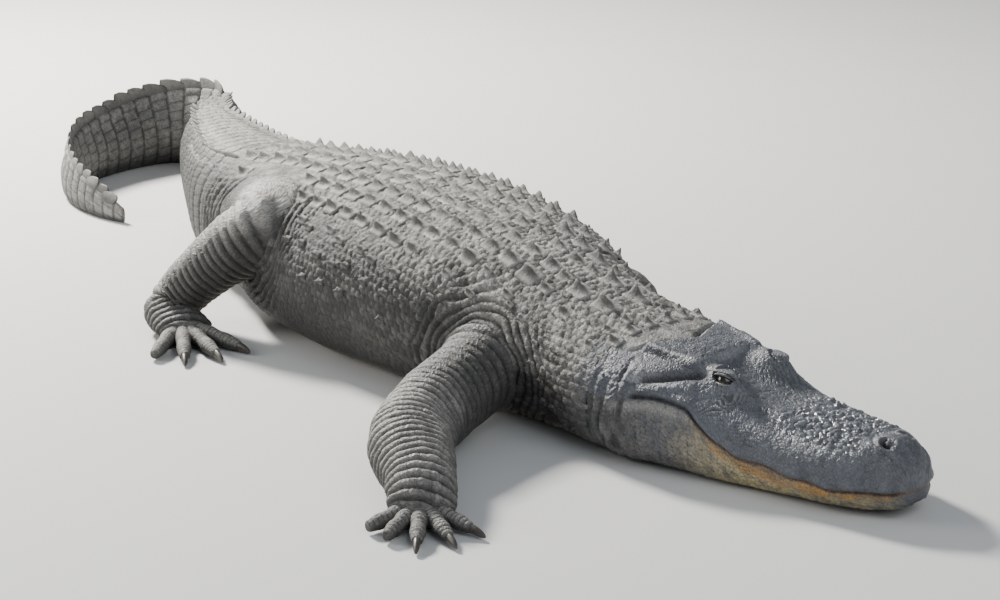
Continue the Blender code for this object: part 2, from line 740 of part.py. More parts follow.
def clear_of_legs(joint_sets):
    """Test that a plate at s and arc stays away from the legs."""
    def clear(s, arc):
        point = on_body(s, arc)[0]
        for joints, reach in joint_sets:
            for a, b in ((joints[0], joints[1]), (joints[1], joints[2])):
                along = b - a
                t = min(max((point - a).dot(along) / along.length_squared, 0.0), 1.0)
                if (point - a - along * t).length < reach:
                    return False
        return True
    return clear


def material(name, colour, rough):
    """Plain material of one colour."""
    made = bpy.data.materials.new(name)
    made.use_nodes = True
    shader = made.node_tree.nodes["Principled BSDF"]
    shader.inputs["Base Color"].default_value = (*colour, 1.0)
    shader.inputs["Roughness"].default_value = rough
    shader.inputs["Metallic"].default_value = 0.0
    return made


def finish(thing, kind, parent):
    """Give a node its material, smooth shading and parent."""
    rough = {"eye": 0.12, "claw": 0.45}.get(kind, 0.72)
    thing.data.materials.clear()
    thing.data.materials.append(material(thing.name + "_finish", COLOURS[kind], rough))
    thing.data.shade_smooth()
    thing.data.set_sharp_from_angle(angle=math.radians(32))
    thing.parent = parent


def build_legs():
    """All four legs as named parts, with their joint places."""
    made = []
    claws = []
    joints = []
    plan = (
        ("right", -1, RIGHT_ARM, ARM_ROOT, ARM_RADII, ARM_WIDENING, HAND, ARM_NAMES),
        ("left", 1, LEFT_ARM, ARM_ROOT, ARM_RADII, ARM_WIDENING, HAND, ARM_NAMES),
        ("right", -1, RIGHT_LEG, LEG_ROOT, LEG_RADII, LEG_WIDENING, FOOT, LEG_NAMES),
        ("left", 1, LEFT_LEG, LEG_ROOT, LEG_RADII, LEG_WIDENING, FOOT, LEG_NAMES))
    for label, side, steps, root, radii, widening, form, names in plan:
        parts, nails = limb(label, names, root, steps, side, radii, widening, form)
        carve(parts[0], [body_cutter()], 'MANIFOLD')
        if names == LEG_NAMES or label == "left":
            carve(parts[1], [body_cutter()], 'MANIFOLD')
        made += parts
        claws += nails
        joints.append((limb_joints(root, steps, side), max(radii) + PLATE_CLEARANCE))
    return made, claws, joints


def build():
    """Make every node of the animal."""
    for old in list(bpy.data.objects):
        bpy.data.objects.remove(old)
    draw = random.Random(SEED)
    parent = bpy.data.objects.new("alligator", None)
    bpy.context.scene.collection.objects.link(parent)
    limbs, claws, joints = build_legs()
    clear = clear_of_legs(joints)
    finish(build_head(), "head", parent)
    finish(skin_rings("lower_jaw", jaw_rings(False)), "lower_jaw", parent)
    for eye in build_eyes():
        finish(eye, "eye", parent)
    neck = body_length("neck")
    join(neck, nape_plates())
    finish(neck, "neck", parent)
    torso = body_length("torso")
    join(torso, trunk_plates(NECK_END + 0.030, TORSO_END - 0.022, draw, clear))
    finish(torso, "torso", parent)
    for name in ("tail_1", "tail_2", "tail_3", "tail_4"):
        start, end, step = LENGTHS[name]
        length = body_length(name)
        join(length, tail_crest(start + CREST_START, end, draw))
        finish(length, "tail", parent)
    for part in limbs:
        finish(part, "limb", parent)
    for nail in claws:
        finish(nail, "claw", parent)


build()
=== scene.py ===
"""Looks of the alligator: one scaled hide, horn plates and crest, eyes, lids and claws.

Places on the body are given as in the solids: s along the spine from the snout
tip, an arc from the midline of the back to each side, and a height. Metres.
"""
import math
from types import SimpleNamespace

import bpy
import numpy as np
from mathutils import Matrix, Vector


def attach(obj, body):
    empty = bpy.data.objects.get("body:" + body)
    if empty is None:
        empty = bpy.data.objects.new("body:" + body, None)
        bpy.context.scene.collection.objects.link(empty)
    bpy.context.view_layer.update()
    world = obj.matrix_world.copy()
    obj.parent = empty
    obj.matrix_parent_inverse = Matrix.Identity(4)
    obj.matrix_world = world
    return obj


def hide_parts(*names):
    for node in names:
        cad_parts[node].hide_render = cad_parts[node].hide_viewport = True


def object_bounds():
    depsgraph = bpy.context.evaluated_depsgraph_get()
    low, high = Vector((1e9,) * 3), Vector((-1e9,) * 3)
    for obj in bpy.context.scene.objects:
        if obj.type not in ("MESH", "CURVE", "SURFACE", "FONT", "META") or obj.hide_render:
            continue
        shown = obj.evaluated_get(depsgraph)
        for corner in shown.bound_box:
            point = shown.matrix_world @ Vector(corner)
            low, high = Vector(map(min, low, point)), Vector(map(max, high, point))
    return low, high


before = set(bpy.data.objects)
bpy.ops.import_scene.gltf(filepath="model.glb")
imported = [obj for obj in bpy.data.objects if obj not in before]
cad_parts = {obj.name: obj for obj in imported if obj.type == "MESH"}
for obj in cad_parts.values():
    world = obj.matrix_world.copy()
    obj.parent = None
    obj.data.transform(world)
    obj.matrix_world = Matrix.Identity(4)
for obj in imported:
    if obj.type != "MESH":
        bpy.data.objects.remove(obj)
CAD_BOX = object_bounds()

# the solids' own sizes
TOTAL_LENGTH = 3.0
SPINE_STEP = 0.005
SNOUT_X = 1.1692
SNOUT_Y = 0.1116
NOSE_ROUND = 0.030
HEAD_END = 0.45
TAIL_START = (1.44, 1.50)
SHOULDER_S = 0.600
GROIN_S = 1.40
SAG = 0.15
HEADINGS = np.array([
    (0.00, 9.1), (0.42, 9.1), (0.70, 0.0), (1.40, 0.0), (1.62, -17.8), (1.85, -20.0),
    (2.00, -23.0), (2.17, -39.0), (2.47, 100.0), (2.60, 120.0), (2.80, 165.0), (3.00, 200.0)])
# s, half width, crown height, height of the widest line, underside, crown and keel roundness
BODY = np.array([
    (0.030, 0.050, 0.088, 0.042, 0.010, 2.7, 2.8),
    (0.060, 0.072, 0.097, 0.040, 0.008, 2.8, 2.8),
    (0.100, 0.083, 0.098, 0.038, 0.006, 2.9, 2.8),
    (0.160, 0.092, 0.101, 0.038, 0.004, 2.8, 2.8),
    (0.220, 0.103, 0.109, 0.043, 0.002, 2.7, 2.8),
    (0.270, 0.115, 0.121, 0.052, 0.000, 2.7, 2.7),
    (0.310, 0.125, 0.136, 0.060, 0.000, 2.7, 2.6),
    (0.360, 0.138, 0.148, 0.066, 0.000, 2.6, 2.6),
    (0.410, 0.146, 0.157, 0.071, 0.000, 2.5, 2.6),
    (0.460, 0.144, 0.164, 0.074, 0.000, 2.4, 2.6),
    (0.540, 0.136, 0.181, 0.085, 0.000, 2.2, 2.6),
    (0.620, 0.150, 0.198, 0.095, 0.000, 2.2, 2.6),
    (0.700, 0.178, 0.220, 0.103, 0.000, 2.3, 2.6),
    (0.850, 0.212, 0.240, 0.108, 0.000, 2.4, 2.6),
    (1.020, 0.230, 0.250, 0.110, 0.000, 2.4, 2.6),
    (1.200, 0.212, 0.246, 0.108, 0.000, 2.4, 2.6),
    (1.340, 0.168, 0.236, 0.106, 0.000, 2.3, 2.6),
    (1.450, 0.138, 0.224, 0.103, 0.000, 2.4, 2.6),
    (1.600, 0.113, 0.208, 0.097, 0.000, 2.6, 2.4),
    (1.800, 0.088, 0.190, 0.088, 0.000, 2.5, 2.3),
    (2.000, 0.068, 0.174, 0.079, 0.000, 2.2, 2.2),
    (2.200, 0.050, 0.156, 0.070, 0.000, 1.8, 2.1),
    (2.400, 0.036, 0.134, 0.060, 0.000, 1.6, 2.1),
    (2.600, 0.025, 0.108, 0.048, 0.000, 1.6, 2.1),
    (2.800, 0.016, 0.078, 0.035, 0.000, 1.7, 2.0),
    (2.950, 0.009, 0.048, 0.022, 0.000, 1.8, 2.0),
    (3.000, 0.004, 0.026, 0.013, 0.000, 2.0, 2.0)])
MOUTH = np.array([
    (0.000, 0.040), (0.030, 0.037), (0.085, 0.036), (0.135, 0.039), (0.175, 0.045), (0.217, 0.050),
    (0.249, 0.062), (0.281, 0.084), (0.304, 0.101), (0.345, 0.107), (0.381, 0.103), (0.420, 0.097)])
MOUTH_CORNER = 0.385
SEAM_END = 0.5
EYE_S = 0.282
EYE_OUT = 0.054
EYE_HEIGHT = 0.130
EYE_RADIUS = 0.0140

# marks of the head: nose pad, nostril's s and offset, skull table and ear slit
NOSE_PAD_S = 0.034
NOSE_PAD_RADIUS = 0.036
NOSTRIL = (0.040, 0.0205)
TABLE_SLANT = 0.40
TABLE_END = (0.372, 0.382)
EAR_HEIGHT = 0.1330
EAR_FALL = 0.17
EAR_START = 0.318

# rows of plates along and across the back, and rings of the tail
ROW_START = 0.645
ROW_END = 1.438
ROW_PITCH = 0.0435
SIDE_PITCH = 0.043
WHORL_PITCH = 0.041
# where the two rows of the tail's crest meet
CREST_MEETING = 2.24
FLANK_SCALE = 0.0118
TAIL_SCALE = 0.019

# legs: root as s, distance from the midline and height, then steps forward, outward and up
ARM_ROOT = (0.660, 0.118, 0.078)
LEG_ROOT = (1.360, 0.080, 0.112)
RIGHT_ARM = ((0.124, 0.216, -0.024), (0.140, 0.082, -0.018), (0.80, 0.60))
LEFT_ARM = ((-0.168, 0.134, -0.022), (-0.120, 0.064, -0.020), (-0.80, 0.60))
RIGHT_LEG = ((0.184, 0.112, 0.068), (-0.104, 0.108, -0.134), (0.96, 0.28))
LEFT_LEG = ((0.140, 0.178, -0.024), (-0.106, 0.062, -0.048), (0.80, 0.60))
ARM_RADII = (0.058, 0.054, 0.052, 0.046, 0.036)
LEG_RADII = (0.072, 0.064, 0.053, 0.046, 0.036)
ARM_WIDENING = (1.0, 1.02, 1.05, 1.16, 1.22)
LEG_WIDENING = (1.0, 1.0, 1.0, 1.0, 1.12)
ARM_NAMES = ("upper_arm", "forearm", "hand")
LEG_NAMES = ("thigh", "shank", "foot")
HAND = {"palm": 0.055, "width": 0.042, "toes": 5, "spread": 105.0,
        "length": 0.062, "radius": 0.0105}
FOOT = {"palm": 0.085, "width": 0.044, "toes": 4, "spread": 62.0,
        "length": 0.092, "radius": 0.0115}
KNUCKLE_HEIGHT = 0.018
PALM_HEIGHT = 0.014
CLAWED_TOES = 3
CLAW_LENGTH = 0.024
GAP = 0.0003

# fineness of the hide
HEAD_RING = 0.0014
TRUNK_RING = 0.0025
TAIL_RING = 0.0030
HALF_POINTS = 200
LIMB_RING = 0.0025
LIMB_POINTS = 110
LIMB_TILE = 0.0150
CURVE_SAMPLES = 24

# how far from the sides and top of the solids' box the looks start to ease back
BOX_MARGINS = (0.006, 0.003, 0.0012)

# toes, webs and claws: rows and points of each, and height and width along a toe
TOE_ROWS = 56
TOE_POINTS = 28
TOE_ARCH = np.array([(0.0, 0.015), (0.35, 0.0165), (0.7, 0.0135), (1.0, 0.0100)])
TOE_TAPER = np.array([
    (0.0, 1.50), (0.25, 1.18), (0.45, 1.02), (0.7, 0.94), (0.94, 0.78), (1.0, 0.55)])
WEB_ROWS = 24
WEB_COLUMNS = 20
CLAW_ROWS = 24
CLAW_POINTS = 18
CLAW_THICKNESS = 0.62
CLAW_ROOT_HEIGHT = 0.0100

# horn plates, crest blades and eyelids
PLATE_PEAK = 0.76
PLATE_ROOT = -0.0035
PLATE_SIZES = (1.0, 1.0, 0.95, 0.84)
PLATE_KEELS = (0.0100, 0.0130, 0.0130, 0.0120)
LOW_PLATE_CHANCES = (0.95, 0.75, 0.45)
# nape plates: s, arc, length, width and keel
NAPE = [(0.520, 0.030, 0.042, 0.044, 0.0145), (0.572, 0.032, 0.041, 0.044, 0.0150),
        (0.548, 0.082, 0.030, 0.027, 0.0100), (0.612, 0.026, 0.030, 0.030, 0.009),
        (0.608, 0.066, 0.026, 0.024, 0.009)]
NAPE += [(0.452, 0.018 + 0.034 * k, 0.024, 0.026, 0.009) for k in range(3)]
NAPE += [(0.478, 0.036 + 0.036 * k, 0.019, 0.018, 0.007) for k in range(3)]
BLADE_ROWS = 14
BLADE_COLUMNS = 24
LID_ROWS = 84
LID_COLUMNS = 144
LID_REACH = 125.0
LID_STRETCH = 1.10
LID_RADIUS = 0.0176
LID_SKIRT = 0.026
EYE_OPENING = (1.02, 0.33)
EYE_ROWS = 48
EYE_POINTS = 64

# places of the legs on the unwrap
UNWRAP_START = 0.01
UNWRAP_LEG = 0.24
UNWRAP_TURN = 6.3

# camera, from the photo's view of the animal
CAMERA_HEIGHT = 1.1544
CAMERA_PITCH = 16.80
CAMERA_SNOUT = (0.5363, 2.8575)
CAMERA_TURN = -54.54
CAMERA_LENS = 86.4
CAMERA_SENSOR = 36.0
CAMERA_FAR = 60.0

# floor, sky, and lights as name, size, power, place right, away and up, and colour
FLOOR_SIZE = 40.0
SKY_COLOUR = (0.80, 0.86, 0.95)
SKY_STRENGTH = 0.34
LIGHTS = (
    ("key", 0.7, 570.0, (-2.0, 2.5, 2.6), (1.0, 0.97, 0.92)),
    ("side", 1.8, 75.0, (-3.4, -0.4, 1.5), (1.0, 0.98, 0.95)),
    ("fill", 3.0, 55.0, (1.8, -3.0, 2.6), (0.92, 0.96, 1.0)))


def through(table, column, at):
    """Smooth, overshoot-free curve through one column of a table."""
    x = table[:, 0]
    y = table[:, column]
    step = np.diff(x)
    slope = np.diff(y) / step
    tangent = np.zeros(len(y))
    tangent[0] = slope[0]
    tangent[-1] = slope[-1]
    one = 2 * step[1:] + step[:-1]
    two = step[1:] + 2 * step[:-1]
    rising = slope[:-1] * slope[1:] > 0
    safe_a = np.where(rising, slope[:-1], 1.0)
    safe_b = np.where(rising, slope[1:], 1.0)
    tangent[1:-1] = np.where(rising, (one + two) / (one / safe_a + two / safe_b), 0.0)
    at = np.clip(at, x[0], x[-1])
    k = np.clip(np.searchsorted(x, at) - 1, 0, len(step) - 1)
    t = (at - x[k]) / step[k]
    h = step[k]
    rise = y[k] * (1 + 2 * t) * (1 - t) ** 2 + y[k + 1] * t * t * (3 - 2 * t)
    return rise + tangent[k] * h * t * (1 - t) ** 2 + tangent[k + 1] * h * t * t * (t - 1)


def trace_spine():
    """Walk tailwards from the snout tip and note x, y and heading."""
    s = np.arange(0.0, TOTAL_LENGTH + SPINE_STEP / 2, SPINE_STEP)
    middle = np.radians(through(HEADINGS, 1, s[:-1] + SPINE_STEP / 2))
    x = SNOUT_X - np.concatenate([[0.0], np.cumsum(np.cos(middle) * SPINE_STEP)])
    y = SNOUT_Y - np.concatenate([[0.0], np.cumsum(np.sin(middle) * SPINE_STEP)])
    return s, x, y, np.radians(through(HEADINGS, 1, s))


SPINE = trace_spine()


def place(s, out, up):
    """Points at s along the spine, out to the left and up from the floor."""
    x = np.interp(s, SPINE[0], SPINE[1])
    y = np.interp(s, SPINE[0], SPINE[2])
    heading = np.interp(s, SPINE[0], SPINE[3])
    return np.stack([x - out * np.sin(heading), y + out * np.cos(heading), up + 0 * x], axis=-1)


def bump(distance, reach):
    """Round bump of height 1 that fades with the distance."""
    return np.exp(-(distance / reach) ** 2)


def ramp(value, low, high):
    """Smooth step from 0 at low to 1 at high."""
    t = np.clip((value - low) / (high - low), 0.0, 1.0)
    return t * t * (3 - 2 * t)


def fall(value, low, high):
    """Smooth step from 1 at low to 0 at high."""
    return 1 - ramp(value, low, high)


def between(value, low, full, fading, gone):
    """Smooth rise from low to full and fall from fading to gone."""
    return ramp(value, low, full) * fall(value, fading, gone)


def hashed(i, j, seed):
    """Repeatable number from 0 to 1 for each whole i, j."""
    value = np.sin(i * 127.1 + j * 311.7 + seed * 74.7) * 43758.5453
    return value - np.floor(value)


def cells(u, v, seed, jitter=0.5, turns=1e6):
    """Distance to the nearest cell centre and from the cell edge, and the cell's number.

    The cells repeat along u after that many turns.
    """
    base_u = np.floor(u)
    base_v = np.floor(v)
    first = np.full(u.shape, 9.0)
    second = np.full(u.shape, 9.0)
    number = np.zeros(u.shape)
    for di in (-1, 0, 1):
        for dj in (-1, 0, 1):
            i = base_u + di
            j = base_v + dj
            name = np.mod(i, turns)
            du = i + 0.5 + (hashed(name, j, seed) - 0.5) * jitter - u
            dv = j + 0.5 + (hashed(name, j, seed + 3) - 0.5) * jitter - v
            gap = np.hypot(du, dv)
            nearer = gap < first
            second = np.where(nearer, first, np.minimum(second, gap))
            number = np.where(nearer, hashed(name, j, seed + 7), number)
            first = np.where(nearer, gap, first)
    return first, second - first, number


def waves(u, v, seed):
    """Smooth value noise from -1 to 1."""
    i = np.floor(u)
    j = np.floor(v)
    a = u - i
    b = v - j
    a = a * a * (3 - 2 * a)
    b = b * b * (3 - 2 * b)
    low = hashed(i, j, seed) * (1 - a) + hashed(i + 1, j, seed) * a
    high = hashed(i, j + 1, seed) * (1 - a) + hashed(i + 1, j + 1, seed) * a
    return 2 * (low * (1 - b) + high * b) - 1


def table_edge(s):
    """Distance from the midline to the side of the skull table."""
    return 0.062 + 0.014 * ramp(s, 0.30, 0.40)


def past_table(s, across):
    """Place along the head, measured parallel to the slanted rear edge of the skull table."""
    return s - TABLE_SLANT * across


def table_end(s, across):
    """From 0 on the skull table to 1 behind its notched rear edge."""
    return ramp(past_table(s, across), *TABLE_END)


def head_lift(s, out):
    """Brows, skull table and nose pad over the plain head, with firmer edges than the solids."""
    across = np.abs(out)
    brow = 0.019 * bump(s - EYE_S, 0.034) * bump(across - EYE_OUT + 0.004, 0.022)
    table = ramp(s, 0.312, 0.336) * (1 - table_end(s, across))
    edge = table_edge(s)
    table = 0.009 * table * fall(across, edge, edge + 0.007)
    rim = 0.0045 * bump(across - edge + 0.004, 0.0055) * ramp(s, 0.292, 0.315)
    rim = rim * (1 - table_end(s, across))
    pad = 0.010 * bump(s - NOSE_PAD_S, 0.022) * bump(across, NOSE_PAD_RADIUS)
    saddle = -0.004 * bump(s - 0.300, 0.035) * bump(across, 0.020)
    hollow = -0.0045 * bump(s - 0.215, 0.050) * bump(across, 0.030)
    ridge = 0.0045 * between(s, 0.13, 0.19, 0.255, 0.285)
    ridge = ridge * bump(across - 0.046 - 0.10 * (s - 0.17), 0.010)
    return brow + table + rim + pad + saddle + hollow + ridge


def half_outlines(s, points=241):
    """Half sections from crown to keel for many s: distances out, heights, and arcs."""
    width, crown, side, low, round_up, round_down = (
        through(BODY, k, s)[:, None] for k in range(1, 7))
    angle = np.linspace(0.0, math.pi, points)[None, :]
    upper = angle <= math.pi / 2 + 1e-9
    power = np.where(upper, 2 / round_up, 2 / round_down)
    reach = np.abs(np.cos(angle)) ** power
    out = width * np.abs(np.sin(angle)) ** power
    out[:, 0] = 0.0
    out[:, -1] = 0.0
    lower = np.maximum(side - (side - low) * (1 + SAG) * reach, low)
    up = np.where(upper, side + (crown - side) * reach, lower)
    nose = s[:, None] < NOSE_ROUND
    shrink = np.sqrt(np.maximum(0.0, 1 - (1 - np.minimum(s[:, None] / NOSE_ROUND, 1.0)) ** 2))
    out = np.where(nose, out * shrink, out)
    up = np.where(nose, side + (up - side) * shrink, up)
    lift = head_lift(s[:, None], out) * np.clip((up - side) / (crown - side), 0.0, 1.0)
    up = up + np.where(upper, lift, 0.0)
    step = np.hypot(np.diff(out, axis=1), np.diff(up, axis=1))
    arc = np.concatenate([np.zeros((len(s), 1)), np.cumsum(step, axis=1)], axis=1)
    return out, up, arc


def surface_points(s, arc):
    """Points on the plain body at each s and signed arc."""
    flat_s = np.ravel(s)
    flat_arc = np.ravel(arc)
    out, up, run = half_outlines(flat_s)
    length = np.minimum(np.abs(flat_arc), run[:, -1])
    k = np.clip((run < length[:, None]).sum(axis=1) - 1, 0, run.shape[1] - 2)
    rows = np.arange(len(flat_s))
    t = (length - run[rows, k]) / np.maximum(run[rows, k + 1] - run[rows, k], 1e-9)
    o = out[rows, k] + (out[rows, k + 1] - out[rows, k]) * t
    u = up[rows, k] + (up[rows, k + 1] - up[rows, k]) * t
    points = place(flat_s, np.sign(flat_arc) * o, u)
    return points.reshape(np.shape(s) + (3,))


def unit(v):
    """Vectors scaled to length 1."""
    return v / np.maximum(np.linalg.norm(v, axis=-1, keepdims=True), 1e-12)


def surface_frames(s, arc):
    """Points, outward normals, tailward and leftward directions on the plain body."""
    step = 0.003
    point = surface_points(s, arc)
    back = unit(surface_points(s + step, arc) - surface_points(s - step, arc))
    left = unit(surface_points(s, arc + step) - surface_points(s, arc - step))
    normal = unit(np.cross(left, back))
    inward = place(s, 0.0 * s, 0.04 + 0.0 * s) - point
    flip = np.where((normal * inward).sum(axis=-1, keepdims=True) > 0, -1.0, 1.0)
    return point, normal * flip, back, left


def ring_faces(rows, columns):
    """Quads of a tube of rows by columns, whose columns close on themselves."""
    i = np.arange(rows - 1)[:, None] * columns
    j = np.arange(columns)[None, :]
    k = (j + 1) % columns
    quads = np.stack([i + j, i + columns + j, i + columns + k, i + k], axis=-1)
    return quads.reshape(-1, 4)


def cap_faces(row_start, columns, pole, reverse):
    """Triangles from one ring to a pole."""
    j = np.arange(columns)
    k = (j + 1) % columns
    tris = np.stack([row_start + j, row_start + k, np.full(columns, pole)], axis=-1)
    return tris[:, ::-1] if reverse else tris


def grid_marks(tone, touch, lie, unwrap):
    """Markings of a grid of points, as one array each.

    They are the colour; how cracked; how wet, or on horn how sunlit; how much head; how sunlit and
    dusty;
    its place on the skin; and its place on the unwrap.
    """
    shape = tone.shape[:-1]
    tint = np.concatenate([tone, np.ones(shape + (1,))], axis=-1)
    return [tint] + [np.stack([np.broadcast_to(part, shape) for part in parts], axis=-1)
                     for parts in (touch, lie, unwrap)]


def kept_inside(points):
    """Points eased back where they would pass the sides or top of the solids' box."""
    points = np.array(points, dtype=np.float64)
    low, high = np.array(CAD_BOX[0]), np.array(CAD_BOX[1])
    for axis, margin in enumerate(BOX_MARGINS):
        over = points[:, axis] - (high[axis] - margin)
        eased = high[axis] - margin * np.exp(-np.maximum(over, 0) / margin)
        points[:, axis] = np.where(over > 0, eased, points[:, axis])
        if axis < 2:
            under = (low[axis] + margin) - points[:, axis]
            eased = low[axis] + margin * np.exp(-np.maximum(under, 0) / margin)
            points[:, axis] = np.where(under > 0, eased, points[:, axis])
    return points


class Shell:
    """Gathers closed grids and plates with their markings into one object."""

    def __init__(self):
        self.points = []
        self.corners = []
        self.sizes = []
        self.marks = []
        self.count = 0

    def add(self, points, faces, marks):
        """Add one closed piece from its points, arrays of faces and markings."""
        self.points.append(points)
        self.marks.append(marks)
        for face in faces:
            self.corners.append(face.ravel() + self.count)
            self.sizes.append(np.full(len(face), face.shape[1]))
        self.count += len(points)

    def add_tube(self, points, marks, end_tints=None):
        """Add rows by columns of points as a tube closed by a pole at each end."""
        rows, columns = points.shape[:2]
        count = rows * columns
        points, *marks = (np.concatenate([grid.reshape(count, -1), grid[[0, -1]].mean(axis=1)])
                          for grid in [points] + marks)
        if end_tints is not None:
            marks[0][count:, :3] = end_tints
        self.add(points, [ring_faces(rows, columns), cap_faces(0, columns, count, False),
                          cap_faces(count - columns, columns, count + 1, True)], marks)

    def finish(self, name, material, slot, *replaced):
        """Make the object, facing outward, on the root and in place of some solids."""
        corners = np.concatenate(self.corners)
        sizes = np.concatenate(self.sizes)
        points = kept_inside(np.concatenate(self.points))
        mesh = bpy.data.meshes.new(name)
        mesh.vertices.add(len(points))
        mesh.vertices.foreach_set("co", points.astype(np.float32).ravel())
        mesh.loops.add(len(corners))
        mesh.loops.foreach_set("vertex_index", corners.astype(np.int32))
        mesh.polygons.add(len(sizes))
        starts = np.concatenate([[0], np.cumsum(sizes)[:-1]]).astype(np.int32)
        mesh.polygons.foreach_set("loop_start", starts)
        mesh.update(calc_edges=True)
        mesh.shade_smooth()
        tint, touch, lie, unwrap = (
            np.concatenate(part).astype(np.float32) for part in zip(*self.marks))
        for label, kind, key, values in (("tint", 'FLOAT_COLOR', "color", tint),
                                         ("touch", 'FLOAT_COLOR', "color", touch),
                                         ("lie", 'FLOAT_VECTOR', "vector", lie)):
            mesh.attributes.new(label, kind, 'POINT').data.foreach_set(key, values.ravel())
        mesh.uv_layers.new(name="OFBake").data.foreach_set("uv", unwrap[corners].ravel())
        mesh.materials.append(material)
        if enclosed(mesh, points) < 0:
            mesh.flip_normals()
        thing = bpy.data.objects.new(name, mesh)
        bpy.context.scene.collection.objects.link(thing)
        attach(thing, "root")
        if replaced:
            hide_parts(*replaced)


def enclosed(mesh, points):
    """Six times the volume in a closed mesh, below zero where its faces look inward."""
    mesh.calc_loop_triangles()
    tris = np.empty(len(mesh.loop_triangles) * 3, dtype=np.int32)
    mesh.loop_triangles.foreach_get("vertices", tris)
    a, b, c = (points[tris[k::3]] for k in range(3))
    return (np.cross(a, b) * c).sum()


def mixed(low, high, weight):
    """Blend of two colours or arrays of colours by a weight."""
    w = np.asarray(weight)[..., None]
    return np.asarray(low) * (1 - w) + np.asarray(high) * w


def coated(tone, *coats):
    """A colour under coats, each given by its colour and its weight."""
    for colour, weight in coats:
        tone = mixed(tone, colour, weight)
    return tone


# base colours
# painted sunlight: the back's colour, made light as if the back lay in sun
SUNLIT_BACK = np.array([0.330, 0.318, 0.290])
# painted shade: the flank's colour, made dark as if the flank lay in shade; legs, toes and webs
# start from it too
SHADED_FLANK = np.array([0.036, 0.036, 0.034])
# painted shade, put into crevices, creases, cracks, pits of the lids and rims of plates and blades
CREVICE_SHADE = np.array([0.017, 0.016, 0.015])
HEAD_DARK = np.array([0.102, 0.110, 0.128])
HEAD_TOP = np.array([0.130, 0.136, 0.148])
JAW = np.array([0.175, 0.170, 0.168])
CHIN = np.array([0.520, 0.430, 0.235])
BELLY = np.array([0.330, 0.295, 0.215])
LIP = np.array([0.460, 0.260, 0.085])
GUM = np.array([0.150, 0.080, 0.035])
# painted shade, put into the mouth's seam, the nostrils, the ear slit, grooves and the lids'
# openings
OPENING_SHADE = np.array([0.012, 0.010, 0.009])
LIMB_TONE = np.array([0.235, 0.228, 0.208])
# the tail's side, painted lighter as if lit from the side
LIT_TAIL_SIDE = np.array([0.205, 0.201, 0.190])
LID_RIM = np.array([0.300, 0.290, 0.260])
LID_BROW = np.array([0.190, 0.190, 0.195])
JOWL = np.array([0.070, 0.072, 0.062])
JAW_EDGE = np.array([0.300, 0.290, 0.270])
# painted highlight on the edge where the skull's top turns down behind the eye
EDGE_HIGHLIGHT = np.array([0.440, 0.440, 0.450])
NOTCH_GREY = np.array([0.300, 0.300, 0.300])
# painted highlight on the crests of the folds round the eye
FOLD_HIGHLIGHT = np.array([0.260, 0.260, 0.260])


def limb_curve(points):
    """Smooth path through a few joints and how far along each sample is."""
    path = [2 * points[0] - points[1]] + points + [2 * points[-1] - points[-2]]
    centres = []
    for k in range(1, len(path) - 2):
        p0, p1, p2, p3 = path[k - 1:k + 3]
        last = k == len(path) - 3
        for t in np.linspace(0.0, 1.0, CURVE_SAMPLES + 1)[:None if last else -1]:
            centres.append(0.5 * (2 * p1 + (p2 - p0) * t + (2 * p0 - 5 * p1 + 4 * p2 - p3) * t * t
                                  + (3 * p1 - p0 - 3 * p2 + p3) * t ** 3))
    centres = np.array(centres)
    run = np.concatenate([[0.0], np.cumsum(np.linalg.norm(np.diff(centres, axis=0), axis=1))])
    return centres, run, run[::CURVE_SAMPLES]


class Limb:
    """One leg: its smooth centre line and its widths along it."""

    def __init__(self, label, root, steps, side, radii, widening, form, names):
        self.label = label
        self.names = names
        self.side = side
        self.hind = names == LEG_NAMES
        self.form = form
        self.steps = steps
        joints = [place(root[0], side * root[1], root[2])]
        for forward, outward, up in steps[:2]:
            joints.append(joints[-1] + np.array([forward, side * outward, up]))
        self.forward = unit(np.array([steps[2][0], side * steps[2][1], 0.0]))
        self.knuckles = joints[2] + self.forward * form["palm"]
        self.knuckles[2] = KNUCKLE_HEIGHT
        centres, run, marks = limb_curve(joints + [self.knuckles])
        self.length = run[-1]
        self.marks = marks
        count = int(self.length / LIMB_RING)
        self.run = np.linspace(0.0, self.length, count)
        self.centres = np.stack([np.interp(self.run, run, line) for line in centres.T], axis=-1)
        stops = [0.0, marks[1] / 2, marks[1], (marks[1] + marks[2]) / 2, marks[2], marks[3]]
        heights = [*radii, PALM_HEIGHT]
        widths = [radius * more for radius, more in zip(radii, widening)] + [form["width"]]
        sizes = np.array([stops, heights, widths]).T
        self.high = through(sizes, 1, self.run)
        self.wide = through(sizes, 2, self.run)

    def distance(self, points):
        """Rough signed distance from points to the leg."""
        nearest = np.full(len(points), 9.0)
        for k in range(0, len(self.run), 3):
            reach = np.linalg.norm(points - self.centres[k], axis=1)
            nearest = np.minimum(nearest, reach - 0.5 * (self.high[k] + self.wide[k]))
        return nearest


LIMBS = [
    Limb("right", ARM_ROOT, RIGHT_ARM, -1, ARM_RADII, ARM_WIDENING, HAND, ARM_NAMES),
    Limb("left", ARM_ROOT, LEFT_ARM, 1, ARM_RADII, ARM_WIDENING, HAND, ARM_NAMES),
    Limb("right", LEG_ROOT, RIGHT_LEG, -1, LEG_RADII, LEG_WIDENING, FOOT, LEG_NAMES),
    Limb("left", LEG_ROOT, LEFT_LEG, 1, LEG_RADII, LEG_WIDENING, FOOT, LEG_NAMES)]

# reach of a leg's folds on the body, and the pitches of folds and of bands of scales
LEG_ZONE = 0.16
FILLET = 0.034
FOLD_PITCH = 0.0125
BAND_PITCH = 0.0155


